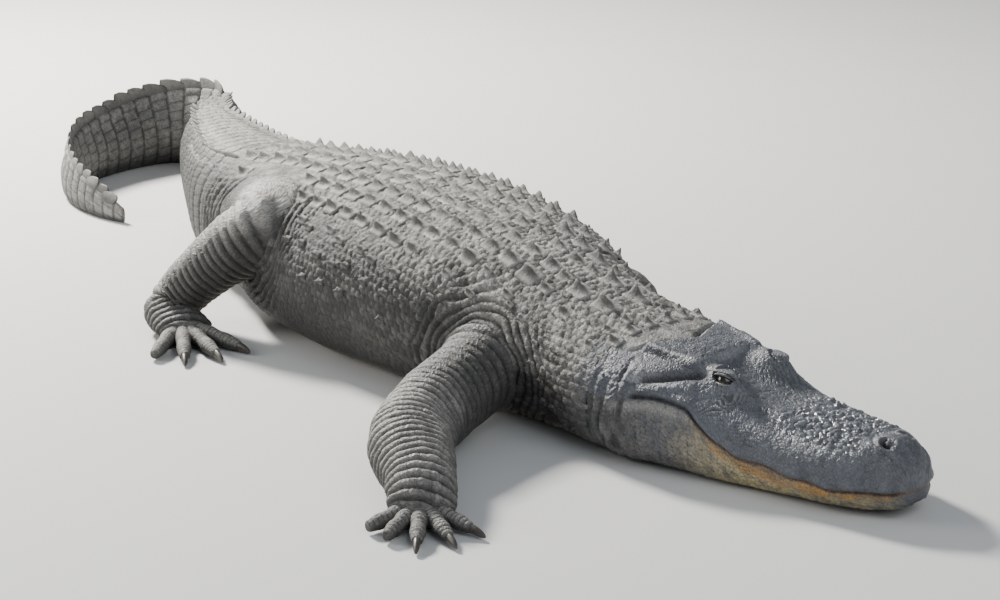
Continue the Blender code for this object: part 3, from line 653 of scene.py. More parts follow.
def body_distance(points):
    """Rough signed distance from points to the plain trunk."""
    s_line = np.linspace(HEAD_END, 1.75, 261)
    line = place(s_line, 0 * s_line, 0 * s_line)
    flat = ((points[:, None, :2] - line[None, :, :2]) ** 2).sum(axis=-1)
    k = flat.argmin(axis=1)
    s = s_line[k]
    heading = np.interp(s, SPINE[0], SPINE[3])
    offset = points[:, :2] - line[k, :2]
    out = np.abs(-offset[:, 0] * np.sin(heading) + offset[:, 1] * np.cos(heading))
    width, crown, side, low, round_up, round_down = (through(BODY, c, s) for c in range(1, 7))
    rise = points[:, 2] - side
    tall = np.where(rise > 0, crown - side, (side - low) * (1 + SAG))
    power = np.where(rise > 0, round_up, round_down)
    ratio = ((out / width) ** power + (np.abs(rise) / tall) ** power) ** (1 / power)
    return (ratio - 1) * np.hypot(out, rise) / np.maximum(ratio, 1e-6)


def fillet(distance):
    """How far a surface rises to flow into another at that distance."""
    return np.maximum(FILLET - np.abs(distance), 0.0) ** 2 / (4 * FILLET)


def body_stations():
    """Ring places along the body, close on the head and wider on the tail."""
    nose = NOSE_ROUND * (1 - np.cos(np.linspace(0.02, math.pi / 2, 26)))
    head = np.arange(NOSE_ROUND, HEAD_END, HEAD_RING)
    trunk = np.arange(HEAD_END, TAIL_START[1], TRUNK_RING)
    tail = np.arange(TAIL_START[1], TOTAL_LENGTH - 0.004, TAIL_RING)
    return np.concatenate([nose[:-1], head, trunk, tail])


def body_grid():
    """Plain body as rings: s and seam arc of each ring, then arcs, points and heights."""
    s = body_stations()
    out, up, arc = half_outlines(s)
    target = np.linspace(0.0, 1.0, HALF_POINTS)[None, :] * arc[:, -1:]
    fine_out = np.stack([np.interp(target[k], arc[k], out[k]) for k in range(len(s))])
    fine_up = np.stack([np.interp(target[k], arc[k], up[k]) for k in range(len(s))])
    seam = through(MOUTH, 1, s)
    seam_arc = np.array([
        np.interp(-seam[k], -up[k], arc[k]) if s[k] < SEAM_END else 9.0 for k in range(len(s))])
    column = np.concatenate([np.arange(HALF_POINTS), np.arange(HALF_POINTS - 2, 0, -1)])
    side = np.concatenate([np.ones(HALF_POINTS), -np.ones(HALF_POINTS - 2)])
    up_full = fine_up[:, column]
    points = place(np.repeat(s[:, None], len(side), axis=1), fine_out[:, column] * side, up_full)
    return s, seam_arc, target[:, column] * side, points, up_full


def grid_normals(points):
    """Outward normals of a tube grid."""
    along = np.gradient(points, axis=0)
    around = (np.roll(points, -1, axis=1) - np.roll(points, 1, axis=1)) / 2
    normal = unit(np.cross(along, around))
    centre = points.mean(axis=1, keepdims=True)
    facing = ((points - centre) * normal).sum(axis=-1).mean()
    return normal if facing > 0 else -normal


def crest_offset(s):
    """Arc from the midline to each row of the double tail crest."""
    rows = np.array([(1.40, 0.070), (1.55, 0.074), (1.80, 0.056), (2.00, 0.034), (2.24, 0.008)])
    return through(rows, 1, s)


def crest_height(s):
    """Height of the tail crest over the skin."""
    rows = np.array([(1.40, 0.009), (1.60, 0.013), (1.90, 0.017), (2.15, 0.021), (2.28, 0.031),
                     (2.40, 0.038), (2.60, 0.035), (2.85, 0.022), (3.00, 0.010)])
    return through(rows, 1, s)


def whorl_edges():
    """Places along the tail where one ring of scales meets the next."""
    edges = [1.462]
    while edges[-1] < TOTAL_LENGTH - 0.03:
        edges.append(edges[-1] + WHORL_PITCH * (1 - 0.35 * float(ramp(edges[-1], 2.2, 3.0))))
    return np.array(edges)


WHORLS = whorl_edges()


def nostril(s, across):
    """Relief and darkness of the nostrils on the nose pad."""
    slit_s = s - NOSTRIL[0]
    slit_out = across - NOSTRIL[1]
    ring = np.hypot(slit_s, slit_out)
    turned = np.cos(np.arctan2(slit_out, slit_s) - 0.9)
    hole = bump(ring - 0.0068, 0.0024) * ramp(turned, -0.35, 0.15)
    hole = np.maximum(hole, bump(np.hypot(slit_s - 0.003, slit_out - 0.004), 0.0026))
    return 0.0020 * bump(ring - 0.0125, 0.0040) + 0.0016 * bump(ring, 0.0035) - 0.0070 * hole, hole


def head_relief(s, arc, seam_arc, up):
    """Relief and markings of the head: mouth, lips, ear flap, rugged snout, wrinkles, jowl."""
    across = np.abs(arc)
    on_head = fall(s, 0.43, 0.50)
    warp = 0.5 * waves(s / 0.02, arc / 0.02, 7)

    # mouth: seam, swollen tooth line and tucked lower jaw
    open_mouth = fall(s, MOUTH_CORNER - 0.012, MOUTH_CORNER) * ramp(s, 0.0, 0.012)
    line = across - seam_arc - 0.0016 * np.sin(s / 0.0105) * between(s, 0.02, 0.05, 0.22, 0.28)
    groove = bump(line, 0.0024) * open_mouth
    teeth = 1 + 0.6 * np.sin(s / 0.0068) * ramp(s, 0.02, 0.05)
    relief = 0.0022 * bump(line + 0.0075, 0.006) * open_mouth * teeth - 0.0072 * groove
    tuck = 0.0040 * ramp(line, 0.0, 0.004) * between(s, 0.004, 0.02, 0.26, 0.34)
    relief -= tuck * fall(line, 0.030, 0.060)

    # snout: knobs, gnarls and the nose pad
    rugged = between(s, 0.055, 0.085, 0.170, 0.215) * fall(across, 0.055, 0.085)
    first, edge, number = cells(s / 0.0105 + warp, arc / 0.0090 - warp, 5, 0.95)
    knobs = 0.0034 * fall(first, 0.1, 0.62) * (0.3 + number) - 0.0014 * fall(edge, 0, 0.18)
    gnarl = waves(s / 0.0085 + 3 * warp, arc / 0.0065 + 2 * warp, 11)
    relief += rugged * (knobs + 0.0010 * gnarl)
    pad_edge = np.hypot(s - NOSE_PAD_S, arc) - NOSE_PAD_RADIUS
    relief -= 0.0016 * bump(pad_edge, 0.0028) * (across < 0.05)
    pad, hole = nostril(s, across)
    relief += pad

    # ear slit, its flap, and the edge behind the skull
    sides = ramp(across, 0.050, 0.060)
    ear_span = between(s, 0.300, 0.314, 0.366, 0.386)
    ear_line = up - EAR_HEIGHT + EAR_FALL * np.maximum(s - EAR_START, 0.0)
    ear = bump(ear_line, 0.0026) * ear_span * sides
    flap = bump(ear_line - 0.0110, 0.0100) * between(s, 0.306, 0.330, 0.392, 0.406) * sides
    flap_end = bump(s - 0.402 - 0.25 * ear_line, 0.0042) * bump(ear_line - 0.006, 0.014) * sides
    relief += 0.0050 * flap - 0.0090 * ear - 0.0046 * flap_end
    relief += 0.0022 * bump(ear_line + 0.0095, 0.0055) * ear_span * sides
    occiput = bump(past_table(s, across) - 0.3860, 0.0036) * fall(across, 0.075, 0.100)
    relief -= 0.0042 * occiput

    # jowl, small plates of bare skin, and the creased jaw
    jowl = ramp(s, 0.33, 0.40) * on_head * ramp(across, 0.10, 0.15)
    relief += 0.0018 * waves(s / 0.012 + arc / 0.05, arc / 0.045, 21) * jowl
    first_plate, plate_edge = cells(s / 0.014, arc / 0.012, 9, 0.9)[:2]
    bare = on_head * (1 - rugged) * (1 - 0.8 * np.clip(flap * 1.5, 0, 1))
    relief += bare * (0.0003 * fall(first_plate, 0.2, 0.7) - 0.0006 * fall(plate_edge, 0, 0.12)
                      + 0.0004 * waves(s / 0.0042 + warp, arc / 0.0062, 55))
    first_jaw, jaw_edge = cells(s / 0.0100 + 0.4 * warp, arc / 0.0075, 13, 0.6)[:2]
    under = np.minimum(ramp(line, 0.014, 0.026) + jowl, 1)
    relief += under * (0.0014 * fall(first_jaw, 0.2, 0.7) - 0.0011 * fall(jaw_edge, 0, 0.2))
    creases = waves(s / 0.010 + 1.5 * waves(s / 0.05, arc / 0.03, 27), arc / 0.030, 23)
    relief += (0.0014 + 0.0018 * jowl) * creases * under * ramp(s, 0.20, 0.30)

    # bags and folds round the eye, and streaks in front of it
    eye_s = s - EYE_S
    eye_up = up - EYE_HEIGHT
    near_eye = np.hypot(eye_s, 1.25 * eye_up)
    lined = near_eye / 0.0070 + 1.9 * waves(s / 0.016 + 9, up / 0.011, 33) + 0.9 * warp
    folds = np.sin(2 * math.pi * lined)
    bagged = between(near_eye, 0.016, 0.021, 0.034, 0.052) * sides
    bagged *= 0.10 + 0.90 * ramp(np.abs(np.arctan2(eye_up, eye_s)), 0.8, 1.4)
    bagged *= ramp(waves(s / 0.020, up / 0.014, 35), -0.45, 0.25)
    relief += 0.0010 * folds * bagged
    flow = (across - 0.42 * s) / 0.0062 + 1.3 * waves(s / 0.035, across / 0.02, 25) + 0.6 * warp
    streaks = np.abs(np.sin(math.pi * flow))
    streaked = between(s, 0.16, 0.21, 0.275, 0.32) * (1 - under) * (1 - 0.7 * rugged)
    streaked *= ramp(waves(s / 0.03, across / 0.012, 29), -0.5, 0.3)
    relief -= 0.0011 * fall(streaks, 0.0, 0.45) * streaked
    wrinkle = np.maximum(ramp(-folds, 0.2, 0.9) * bagged, fall(streaks, 0.0, 0.30) * streaked)
    mottle = waves(s / 0.009 + warp, arc / 0.011, 37) * 0.6 + waves(s / 0.03, arc / 0.03, 39) * 0.4
    return SimpleNamespace(
        relief=relief * on_head, on=on_head, groove=groove, line=line, rugged=rugged, hole=hole,
        ear=ear, flap=flap, flap_end=flap_end, occiput=occiput, cell=plate_edge, jaw_cell=jaw_edge,
        jowl=jowl, creases=creases, wrinkle=wrinkle, bagged=bagged, folds=folds, mottle=mottle,
        knob=fall(first, 0.1, 0.5), top=fall(across, 0.055, 0.090))


def eye_axes(side):
    """Centre of an eye and its outward, headward and upward axes."""
    centre = place(EYE_S, side * EYE_OUT, EYE_HEIGHT)
    heading = math.radians(HEADINGS[0][1])
    ahead = np.array([math.cos(heading), math.sin(heading), 0.0])
    left = np.array([-math.sin(heading), math.cos(heading), 0.0])
    outward = unit(side * left * 0.86 + np.array([0, 0, 0.42]) + ahead * 0.22)
    upward = unit(np.array([0, 0, 1.0]) - outward * outward[2])
    return centre, outward, unit(ahead - outward * outward.dot(ahead)), upward


def dome(side, angle, turn, radius, stretch=1.0):
    """Points round an eye, by angle from its axis, turn round it and distance from its centre."""
    centre, outward, ahead, upward = eye_axes(side)
    direction = (np.cos(angle)[..., None] * outward
                 + (np.sin(angle) * np.cos(turn))[..., None] * ahead * stretch
                 + (np.sin(angle) * np.sin(turn))[..., None] * upward)
    return centre + direction * radius[..., None]


def sink_under_lids(points):
    """Raise the hide to meet each lid dome and sink it where the dome covers it."""
    for side in (-1, 1):
        centre = eye_axes(side)[0]
        away = points - centre
        reach = np.linalg.norm(away, axis=-1)
        direction = away / np.maximum(reach, 1e-9)[..., None]
        gap = reach - LID_RADIUS
        skirt = np.maximum(LID_SKIRT - np.abs(gap), 0.0) ** 2 / (4 * LID_SKIRT) * 0.85
        raised = points + np.array([0, 0, 1.0]) * (skirt * (gap > 0))[..., None]
        sunk = centre + direction * (0.8 * EYE_RADIUS)
        points = np.where((gap < -0.0006)[..., None], sunk, raised)
    return points


def trunk_relief(s, arc):
    """Relief of neck, trunk and tail, its crevices, its scales' numbers, and its parts."""
    across = np.abs(arc)
    tail = ramp(s, *TAIL_START)
    flank = ramp(s, 0.42, 0.50) * (1 - tail)

    # small scales of the flank, worn flat under the belly
    shift = 0.5 * np.mod(np.floor(across / FLANK_SCALE), 2)
    first, edge, number = cells(s / FLANK_SCALE + shift, across / FLANK_SCALE, 31, 0.42)
    crack = fall(edge, 0.0, 0.26)
    relief = flank * (0.0017 * fall(first, 0.15, 0.62) * (0.55 + 0.9 * number) - 0.0012 * crack)
    skin_lines = waves(s / 0.0065 + 2.5 * waves(s / 0.03, across / 0.03, 45), across / 0.016, 49)
    relief += 0.0009 * skin_lines * flank * fall(across, 0.15, 0.21)
    relief *= 1 - 0.7 * ramp(across, 0.34, 0.40) * flank

    # folds at shoulder and groin, and the sag of the whole
    folds = waves(s / 0.030 + across / 0.11, across / 0.09, 41)
    folded = bump(s - SHOULDER_S, 0.075) + 0.7 * bump(s - GROIN_S, 0.08)
    relief += 0.0026 * folds * folded * ramp(across, 0.12, 0.19)
    relief += 0.0035 * waves(s / 0.13, across / 0.16, 43) * flank

    # rings of square scales round the tail, and the ridge under its crest
    k = np.clip(np.searchsorted(WHORLS, s) - 1, 0, len(WHORLS) - 2)
    pitch = WHORLS[k + 1] - WHORLS[k]
    along = (s - WHORLS[k]) / pitch
    ring_line = bump(np.minimum(along, 1 - along) * pitch, 0.0026)
    brick = across / TAIL_SCALE + 0.5 * np.mod(k, 2)
    side_line = bump((0.5 - np.abs(brick - np.floor(brick) - 0.5)) * TAIL_SCALE, 0.0018)
    puff = np.sin(math.pi * np.clip(along, 0, 1)) ** 0.6
    taper = 1 - 0.6 * ramp(s, 2.3, 2.95)
    relief += tail * taper * (0.0030 * puff - 0.0030 * ring_line - 0.0012 * side_line)
    comb = bump(across - np.where(s < CREST_MEETING, crest_offset(s), 0.0), 0.0085)
    relief += 0.32 * crest_height(s) * comb * between(s, 1.46, 1.56, 2.80, 2.95)
    crevice = np.maximum(flank * crack * 0.8, tail * np.maximum(ring_line, 0.6 * side_line))
    return relief, crevice, number, flank, tail


def leg_meeting(points):
    """How the skin rises, creases and lies calm round the root of each leg."""
    rise, crease, calm = np.zeros((3, len(points)))
    for limb in LIMBS:
        low = limb.centres.min(axis=0) - LEG_ZONE
        high = limb.centres.max(axis=0) + LEG_ZONE
        near = np.nonzero(((points > low) & (points < high)).all(axis=1))[0]
        x, y, z = points[near].T
        gap = limb.distance(points[near])
        turn = gap / FOLD_PITCH + 0.55 * waves(x / 0.035, y / 0.035 + z / 0.03, 47)
        band = bump(np.abs(turn - np.floor(turn) - 0.5) - 0.5, 0.17)
        for field, value in ((rise, fillet(gap)), (calm, fall(gap, 0.020, 0.080)),
                             (crease, band * between(gap, 0.001, 0.006, 0.040, 0.095))):
            field[near] = np.maximum(field[near], value)
    return rise, crease, calm


def trunk_tone(s, arc, height, number, tail):
    """Colours of neck, trunk and tail, with painted sunlight on the back and painted shade on the
    flanks, and how much of each place is sunlit back.
    """
    across = np.abs(arc)
    share = across / across.max(axis=1, keepdims=True)
    narrow = ramp(s, 1.15, 1.40)
    back = fall(across, 0.13 - 0.05 * narrow, 0.22 - 0.09 * narrow)
    # painted highlights on some of the flank's scales
    lit = np.clip(number * 1.2 - 0.25, 0, 1) * fall(across, 0.26, 0.36)
    patch = 0.62 + 0.55 * waves(s / 0.022, arc / 0.018, 53) + 0.45 * (number - 0.5)
    patch = np.clip(patch, 0.12, 1.15)
    beyond = ramp(s, 1.95, 2.25)
    from_crest = across - crest_offset(np.minimum(s, CREST_MEETING))
    tail_back = fall(from_crest, -0.004, 0.02) * (1 - 0.7 * beyond)
    pale = bump(share - 0.50, 0.10) * (0.45 + 0.55 * number) * beyond
    # the tail's top painted sunlit, its side painted lighter as if lit from the side
    side = coated(SHADED_FLANK, (LIT_TAIL_SIDE, 0.25 + 0.75 * ramp(s, 2.05, 2.3) * fall(share, 0.62, 0.80)),
                  (SUNLIT_BACK, 0.6 * pale), (SUNLIT_BACK, tail_back * 0.95))
    tone = coated(SHADED_FLANK, (SUNLIT_BACK, np.clip(back * patch + 0.26 * lit * (1 - back), 0, 1.15)),
                  (BELLY, ramp(-height, -0.030, -0.004) * 0.8 * (1 - tail)), (side, tail))
    return tone, np.maximum(back, tail_back * tail)


def head_tone(s, arc, up, level, head):
    """Colours of the head, and how far each place is below the mouth."""
    across = np.abs(arc)
    mottle = head.mottle
    notch = bump(past_table(s, across) - 0.3770, 0.0042) * fall(across, 0.085, 0.110)
    behind_eye = between(s, 0.316, 0.334, 0.394, 0.408) * (up > 0.120)
    skin = coated(
        HEAD_DARK,
        (HEAD_TOP, np.clip(head.top * 0.7 + 0.3 * head.rugged + 0.35 * mottle, 0, 1)),
        # painted highlights on the knob tops of the rugged snout
        (HEAD_TOP * 2.3, 0.65 * head.rugged * head.knob),
        (HEAD_DARK * 0.45, ramp(-mottle, 0.15, 0.6) * 0.55),
        # painted shade where the side of the skull behind the eye turns away from the top
        (HEAD_DARK * 0.42, 0.85 * fall(level, 0.50, 0.68) * ramp(up, 0.128, 0.136) * behind_eye),
        (NOTCH_GREY, 0.45 * notch * (0.4 + 0.6 * ramp(mottle, -0.4, 0.4))),
        # painted highlight where the surface turns from the top to the side behind the eye
        (EDGE_HIGHLIGHT, 0.80 * bump(level - 0.72, 0.12) * behind_eye),
        (HEAD_DARK * 0.80, 0.5 * np.clip(head.flap, 0, 1)),
        # painted highlight on the fold crests round the eye
        (FOLD_HIGHLIGHT, ramp(head.folds, 0.3, 0.95) * head.bagged * 0.45))
    under = ramp(head.line, 0.0, 0.006) * ramp(s, 0.002, 0.02)
    patchy = 0.5 + 0.9 * waves(s / 0.016, arc / 0.012, 81) + 0.4 * waves(s / 0.005, arc / 0.004, 83)
    patchy = np.clip(patchy, 0, 1)
    lip_width = 0.003 + 0.008 * bump(s - 0.16, 0.075) + 0.007 * patchy
    lip = under * fall(head.line, lip_width, lip_width + 0.007) * fall(s, 0.25, 0.30)
    jaw = coated(
        CHIN,
        (JAW, ramp(s, 0.20, 0.34)),
        (HEAD_DARK * 0.9, ramp(mottle, 0.0, 0.5) * 0.55),
        (JOWL, head.jowl * ramp(mottle, -0.5, 0.3) * 0.7),
        (JAW_EDGE, bump(head.line - 0.012, 0.006) * between(s, 0.29, 0.33, 0.39, 0.42)))
    # painted shade in the nostrils, the ear slit and the grooves behind the skull
    openings = head.hole + 0.9 * head.ear + 0.5 * head.occiput + 0.5 * head.flap_end
    skin = coated(
        skin,
        (jaw, under * (0.65 + 0.35 * ramp(s, 0.06, 0.16))),
        # painted shade between the jaw's scales, in the troughs of the folds round the eye, in the
        # jowl's creases, in the mouth's seam and in the openings
        (CREVICE_SHADE, under * fall(head.jaw_cell, 0.0, 0.12) * 0.35),
        (LIP, lip * (0.20 + 0.80 * patchy)),
        (GUM, lip * (1 - patchy) * 0.55),
        (CREVICE_SHADE, head.wrinkle * 0.75),
        (CREVICE_SHADE, under * head.jowl * ramp(-head.creases, 0.05, 0.6) * 0.65),
        (GUM, bump(head.line - 0.001, 0.0022) * fall(s, 0.25, 0.30) * 0.8),
        (OPENING_SHADE, np.clip(head.groove, 0, 1) * ramp(s, 0.2, 0.3) * 0.95),
        (OPENING_SHADE, np.clip(openings, 0, 1) * 0.85))
    return skin, under


def body_hide(hide):
    """The hide of head, neck, trunk and tail."""
    s, seam, arc, points, up = body_grid()
    s = np.repeat(s[:, None], arc.shape[1], axis=1)
    seam = np.repeat(seam[:, None], arc.shape[1], axis=1)
    across = np.abs(arc)
    normal = grid_normals(points)
    head = head_relief(s, arc, seam, up)
    relief, crevice, number, flank, tail = trunk_relief(s, arc)
    rise, crease, calm = (field.reshape(s.shape) for field in leg_meeting(points.reshape(-1, 3)))
    crease = crease * between(s, 0.44, 0.50, 1.46, 1.52) * ramp(across, 0.10, 0.15)
    calm = 0.60 * calm * flank
    relief = (relief + head.relief) * (1 - calm) + rise - 0.0052 * crease
    crevice = np.maximum(crevice * (1 - calm), crease)
    relief *= 0.25 + 0.75 * ramp(points[..., 2], 0.0, 0.012)
    points = sink_under_lids(points + normal * relief[..., None])
    points[..., 2] = np.maximum(points[..., 2], 0.0)
    tone, sunlit = trunk_tone(s, arc, points[..., 2], number, tail)
    skin, under = head_tone(s, arc, up, normal[..., 2], head)
    over = head.on * (1 - 0.85 * table_end(s - 0.008, across) * fall(across, 0.075, 0.110))
    # painted shade in the crevices between scales, between the tail's rings and in the folds round
    # the legs
    tone = coated(tone, (CREVICE_SHADE, np.clip(crevice, 0, 1) * 0.85), (skin, over))
    wet = over * np.clip(0.25 + 1.15 * head.rugged + 0.1 * head.top, 0, 1.3) * (1 - under)
    crack = np.clip(np.maximum(crevice, head.on * fall(head.cell, 0, 0.1) * 0.3), 0, 1)
    hide.add_tube(points, grid_marks(tone, (crack, wet, over, sunlit * (1 - over)), (s, arc, 0),
                                     (s / TOTAL_LENGTH, 0.31 + 0.29 * arc / 0.46)))


def tube_points(centres, wide, high, columns):
    """Oval rings round a centre line, as rows by columns, with their outward normals and angles."""
    along = unit(np.gradient(centres, axis=0))
    across = unit(np.cross(along, np.array([0.0, 0.0, 1.0])))
    up = unit(np.cross(across, along))
    angle = (2 * math.pi * np.arange(columns) / columns)[None, :]
    ring = (across[:, None, :] * (np.cos(angle) * wide[:, None])[..., None]
            + up[:, None, :] * (np.sin(angle) * high[:, None])[..., None])
    return centres[:, None, :] + ring, unit(ring), angle


def limb_hide(hide, limb, slot):
    """The hide of one leg down to its knuckles, with a blunt end."""
    run = limb.run
    elbow, wrist, end = limb.marks[1:]
    muscle = 1 + 0.06 * np.sin(math.pi * np.clip(run / elbow, 0, 1))
    muscle *= np.minimum(np.sqrt(np.clip((end + 0.004 - run) / 0.016, 0.02, 1.0)), 1)
    wide = limb.wide * muscle
    high = limb.high * muscle
    points, normal, angle = tube_points(limb.centres, wide, high, LIMB_POINTS)
    s = np.repeat(run[:, None], LIMB_POINTS, axis=1)
    girth = 0.5 * (wide + high)[:, None] * angle

    # bands of scales, wider up the leg, each cut into tiles
    knot = np.linspace(-0.05, limb.length + 0.05, 400)
    pitch = BAND_PITCH * (1.25 - 0.42 * ramp(knot, 0.3 * elbow, 1.1 * elbow))
    count = np.concatenate([[0.0], np.cumsum(np.diff(knot) / pitch[1:])])
    bend = 0.006 * np.sin(angle + 1.0)
    bend = bend + 0.0022 * waves(s / 0.03, 3 + 2.2 * np.cos(angle) + 0 * s, 65)
    band = np.interp(s + bend, knot, count)
    row = np.floor(band)
    along = band - row
    columns = float(np.round(2 * math.pi * limb.wide[len(run) // 2] / LIMB_TILE))
    lap = angle / (2 * math.pi) * columns + 0.5 * np.mod(row, 2) + 0.16 * np.sin(angle * 3 + row)
    tile = np.mod(np.floor(lap), columns)
    number = hashed(tile, row, 51 + slot)
    crease = bump(np.minimum(along, 1 - along), 0.17)
    cut = bump(np.minimum(lap - np.floor(lap), np.ceil(lap) - lap) * LIMB_TILE, 0.0012)
    cut *= 0.15 + 0.55 * hashed(tile, row, 57 + slot)
    shingle = ramp(along, 0.0, 0.30) * (1 - 0.45 * along)
    grain = waves(s / 0.0034, girth / 0.0034, 59 + slot)
    fold = waves(s / 0.026 + np.cos(angle) * 0.8, 5 + 1.6 * np.sin(angle) + 0 * s, 61 + slot)
    joint_fold = bump(s - elbow, 0.05) + 0.7 * bump(s - wrist, 0.03)
    lower = ramp(s, 0.55 * elbow, elbow) * (1 - 0.5 * limb.hind)
    relief = (0.0022 + 0.0018 * lower) * shingle * (0.80 + 0.4 * number) - 0.0036 * crease
    relief += 0.0003 * grain - 0.0012 * cut + 0.0024 * fold * (0.35 + joint_fold)
    relief += fillet(body_distance(points.reshape(-1, 3)).reshape(s.shape))
    points = points + normal * relief[..., None]
    points[..., 2] = np.maximum(points[..., 2], 0.0)

    # painted light: tops facing up lighter, more so on the raised band edges and the lower leg, a
    # painted highlight on the knee, the thigh in the flank's shaded colour, and painted shade in
    # the gaps between the bands
    level = normal[..., 2]
    sunny = ramp(level, -0.3, 0.8)
    bright = (0.22 + 0.55 * lower) * ramp(shingle, 0.35, 0.95) + 0.35 * lower
    knee_highlight = bump(s - elbow, 0.080) * ramp(level, 0.1, 0.7) * limb.hind
    thigh = fall(s, 0.45 * elbow, 0.72 * elbow) * limb.hind
    crevice = np.clip(np.maximum(crease * 0.95, cut * 0.7), 0, 1)
    tone = coated(
        SHADED_FLANK,
        (LIMB_TONE, np.clip(0.15 + sunny * bright * (0.6 + 0.6 * number), 0, 1.3)),
        (SUNLIT_BACK * 1.35, 0.9 * knee_highlight),
        (SHADED_FLANK, 0.75 * thigh),
        (BELLY, ramp(-level, 0.55, 0.95) * 0.5),
        (CREVICE_SHADE, crevice * (0.96 - 0.50 * knee_highlight)))
    hide.add_tube(points, grid_marks(
        tone, (crevice, 0.35 * sunny, 0, 0.6 * sunny), (s + slot, girth + slot, 0),
        (UNWRAP_START + UNWRAP_LEG * slot + 0.20 * s / 0.55, 0.64 + 0.16 * angle / UNWRAP_TURN)))


def toe_lines(limb):
    """Start, direction and length of each toe."""
    form = limb.form
    start = limb.knuckles - limb.forward * form["palm"] * 0.45
    base = math.atan2(limb.side * limb.steps[2][1], limb.steps[2][0])
    span = math.radians(form["spread"])
    lines = []
    middle = (form["toes"] - 1) / 2
    for k in range(form["toes"]):
        angle = base + limb.side * span * (k / (form["toes"] - 1) - 0.5)
        direction = np.array([math.cos(angle), math.sin(angle), 0.0])
        reach = form["palm"] * 0.35 + form["length"] * (1.0 - 0.10 * abs(k - middle))
        lines.append((start + direction * form["palm"] * 0.25, direction, reach))
    return lines


def toe_hide(hide, limb, slot, k, line):
    """The hide of one toe, with bands of small scales and knuckles."""
    root, direction, reach = line
    t = np.linspace(0.0, 1.0, TOE_ROWS)
    centres = root[None, :] + direction[None, :] * (reach * t)[:, None]
    centres[:, 2] = through(TOE_ARCH, 1, t)
    knuckle = 1 + 0.07 * np.cos(2 * math.pi * (t * 3.0 - 0.2))
    size = limb.form["radius"] * through(TOE_TAPER, 1, t) * knuckle
    points, normal, angle = tube_points(centres, size, size, TOE_POINTS)
    s = np.repeat((reach * t)[:, None], TOE_POINTS, axis=1)
    band = s / 0.0068 + 0.08 * np.sin(angle * 2 + k)
    topside = ramp(normal[..., 2], 0.15, 0.65)
    crease = bump(np.abs(band - np.floor(band) - 0.5) - 0.5, 0.14) * (0.25 + 0.75 * topside)
    pebble = cells(s / 0.0030, angle / (2 * math.pi) * 18 + 0 * s, 67 + k, 0.8)[0]
    bead = fall(pebble, 0.1, 0.7) * (1 - topside)
    points = points + normal * (0.0005 * topside + 0.0004 * bead - 0.0009 * crease)[..., None]
    points[..., 2] = np.maximum(points[..., 2], 0.0)
    # painted light: the top of the toe lighter and its underside darker, with painted shade in the
    # creases
    tone = coated(SHADED_FLANK, (LIMB_TONE, 0.2 + 0.7 * ramp(normal[..., 2], -0.2, 0.9)),
                  (CREVICE_SHADE, np.clip(crease, 0, 1) * 0.75))
    hide.add_tube(points, grid_marks(
        tone, (crease, 0, 0, 0), (s + slot + k, angle * 0.01, 0),
        (UNWRAP_START + UNWRAP_LEG * slot + 0.045 * k + 0.035 * s / 0.14,
         0.84 + 0.12 * angle / UNWRAP_TURN)))


def web_hide(hide, limb, slot):
    """Skin between the toes, wide on the hind feet and short on the hands."""
    lines = toe_lines(limb)
    share = np.linspace(0.0, 1.0, WEB_COLUMNS // 2)
    scoop = (0.62 if limb.hind else 0.46) - 0.24 * np.sin(math.pi * share)
    for k in range(len(lines) - 1):
        (a, along_a, reach_a), (b, along_b, reach_b) = lines[k], lines[k + 1]
        t = np.linspace(0.10, 1.0, WEB_ROWS)
        out = t[:, None, None] * scoop[None, :, None]
        top = ((a + along_a * reach_a * out) * (1 - share[:, None])
               + (b + along_b * reach_b * out) * share[:, None])
        top[..., 2] = 0.0115 - 0.005 * t[:, None]
        points = np.concatenate([top, top[:, ::-1] - np.array([0, 0, 0.0032])], axis=1)
        s = t[:, None] * 0.08
        v = np.linspace(0, 1, WEB_COLUMNS)[None, :]
        # painted shade: the webs take the flank's shaded colour
        tone = np.broadcast_to(SHADED_FLANK * 0.9, points.shape)
        hide.add_tube(points, grid_marks(
            tone, (0, 0, 0, 0), (s, v * 0.05, 0),
            (UNWRAP_START + UNWRAP_LEG * slot + 0.05 * k + 0.04 * s / 0.08, 0.965 + 0.03 * v)))


def build_hide(material):
    """One hide for the whole animal, in place of all its flesh."""
    hide = Shell()
    body_hide(hide)
    for slot, limb in enumerate(LIMBS):
        limb_hide(hide, limb, slot)
        for k, line in enumerate(toe_lines(limb)):
            toe_hide(hide, limb, slot, k, line)
        web_hide(hide, limb, slot)
    flesh = ["head", "lower_jaw", "neck", "torso", "tail_1", "tail_2", "tail_3", "tail_4"]
    flesh += [f"{name}_{limb.label}" for limb in LIMBS for name in limb.names]
    hide.finish("hide", material, "hide", *flesh)


def sheet_faces(rows, columns):
    """Quads of a flat grid."""
    i = np.arange(rows - 1)[:, None] * columns
    j = np.arange(columns - 1)[None, :]
    quads = np.stack([i + j, i + j + 1, i + columns + j + 1, i + columns + j], axis=-1)
    return quads.reshape(-1, 4)


def border(rows, columns):
    """Indices round the rim of a flat grid, in order."""
    top = np.arange(columns)
    right = np.arange(1, rows) * columns + columns - 1
    bottom = (rows - 1) * columns + np.arange(columns - 2, -1, -1)
    left = np.arange(rows - 2, 0, -1) * columns
    return np.concatenate([top, right, bottom, left])


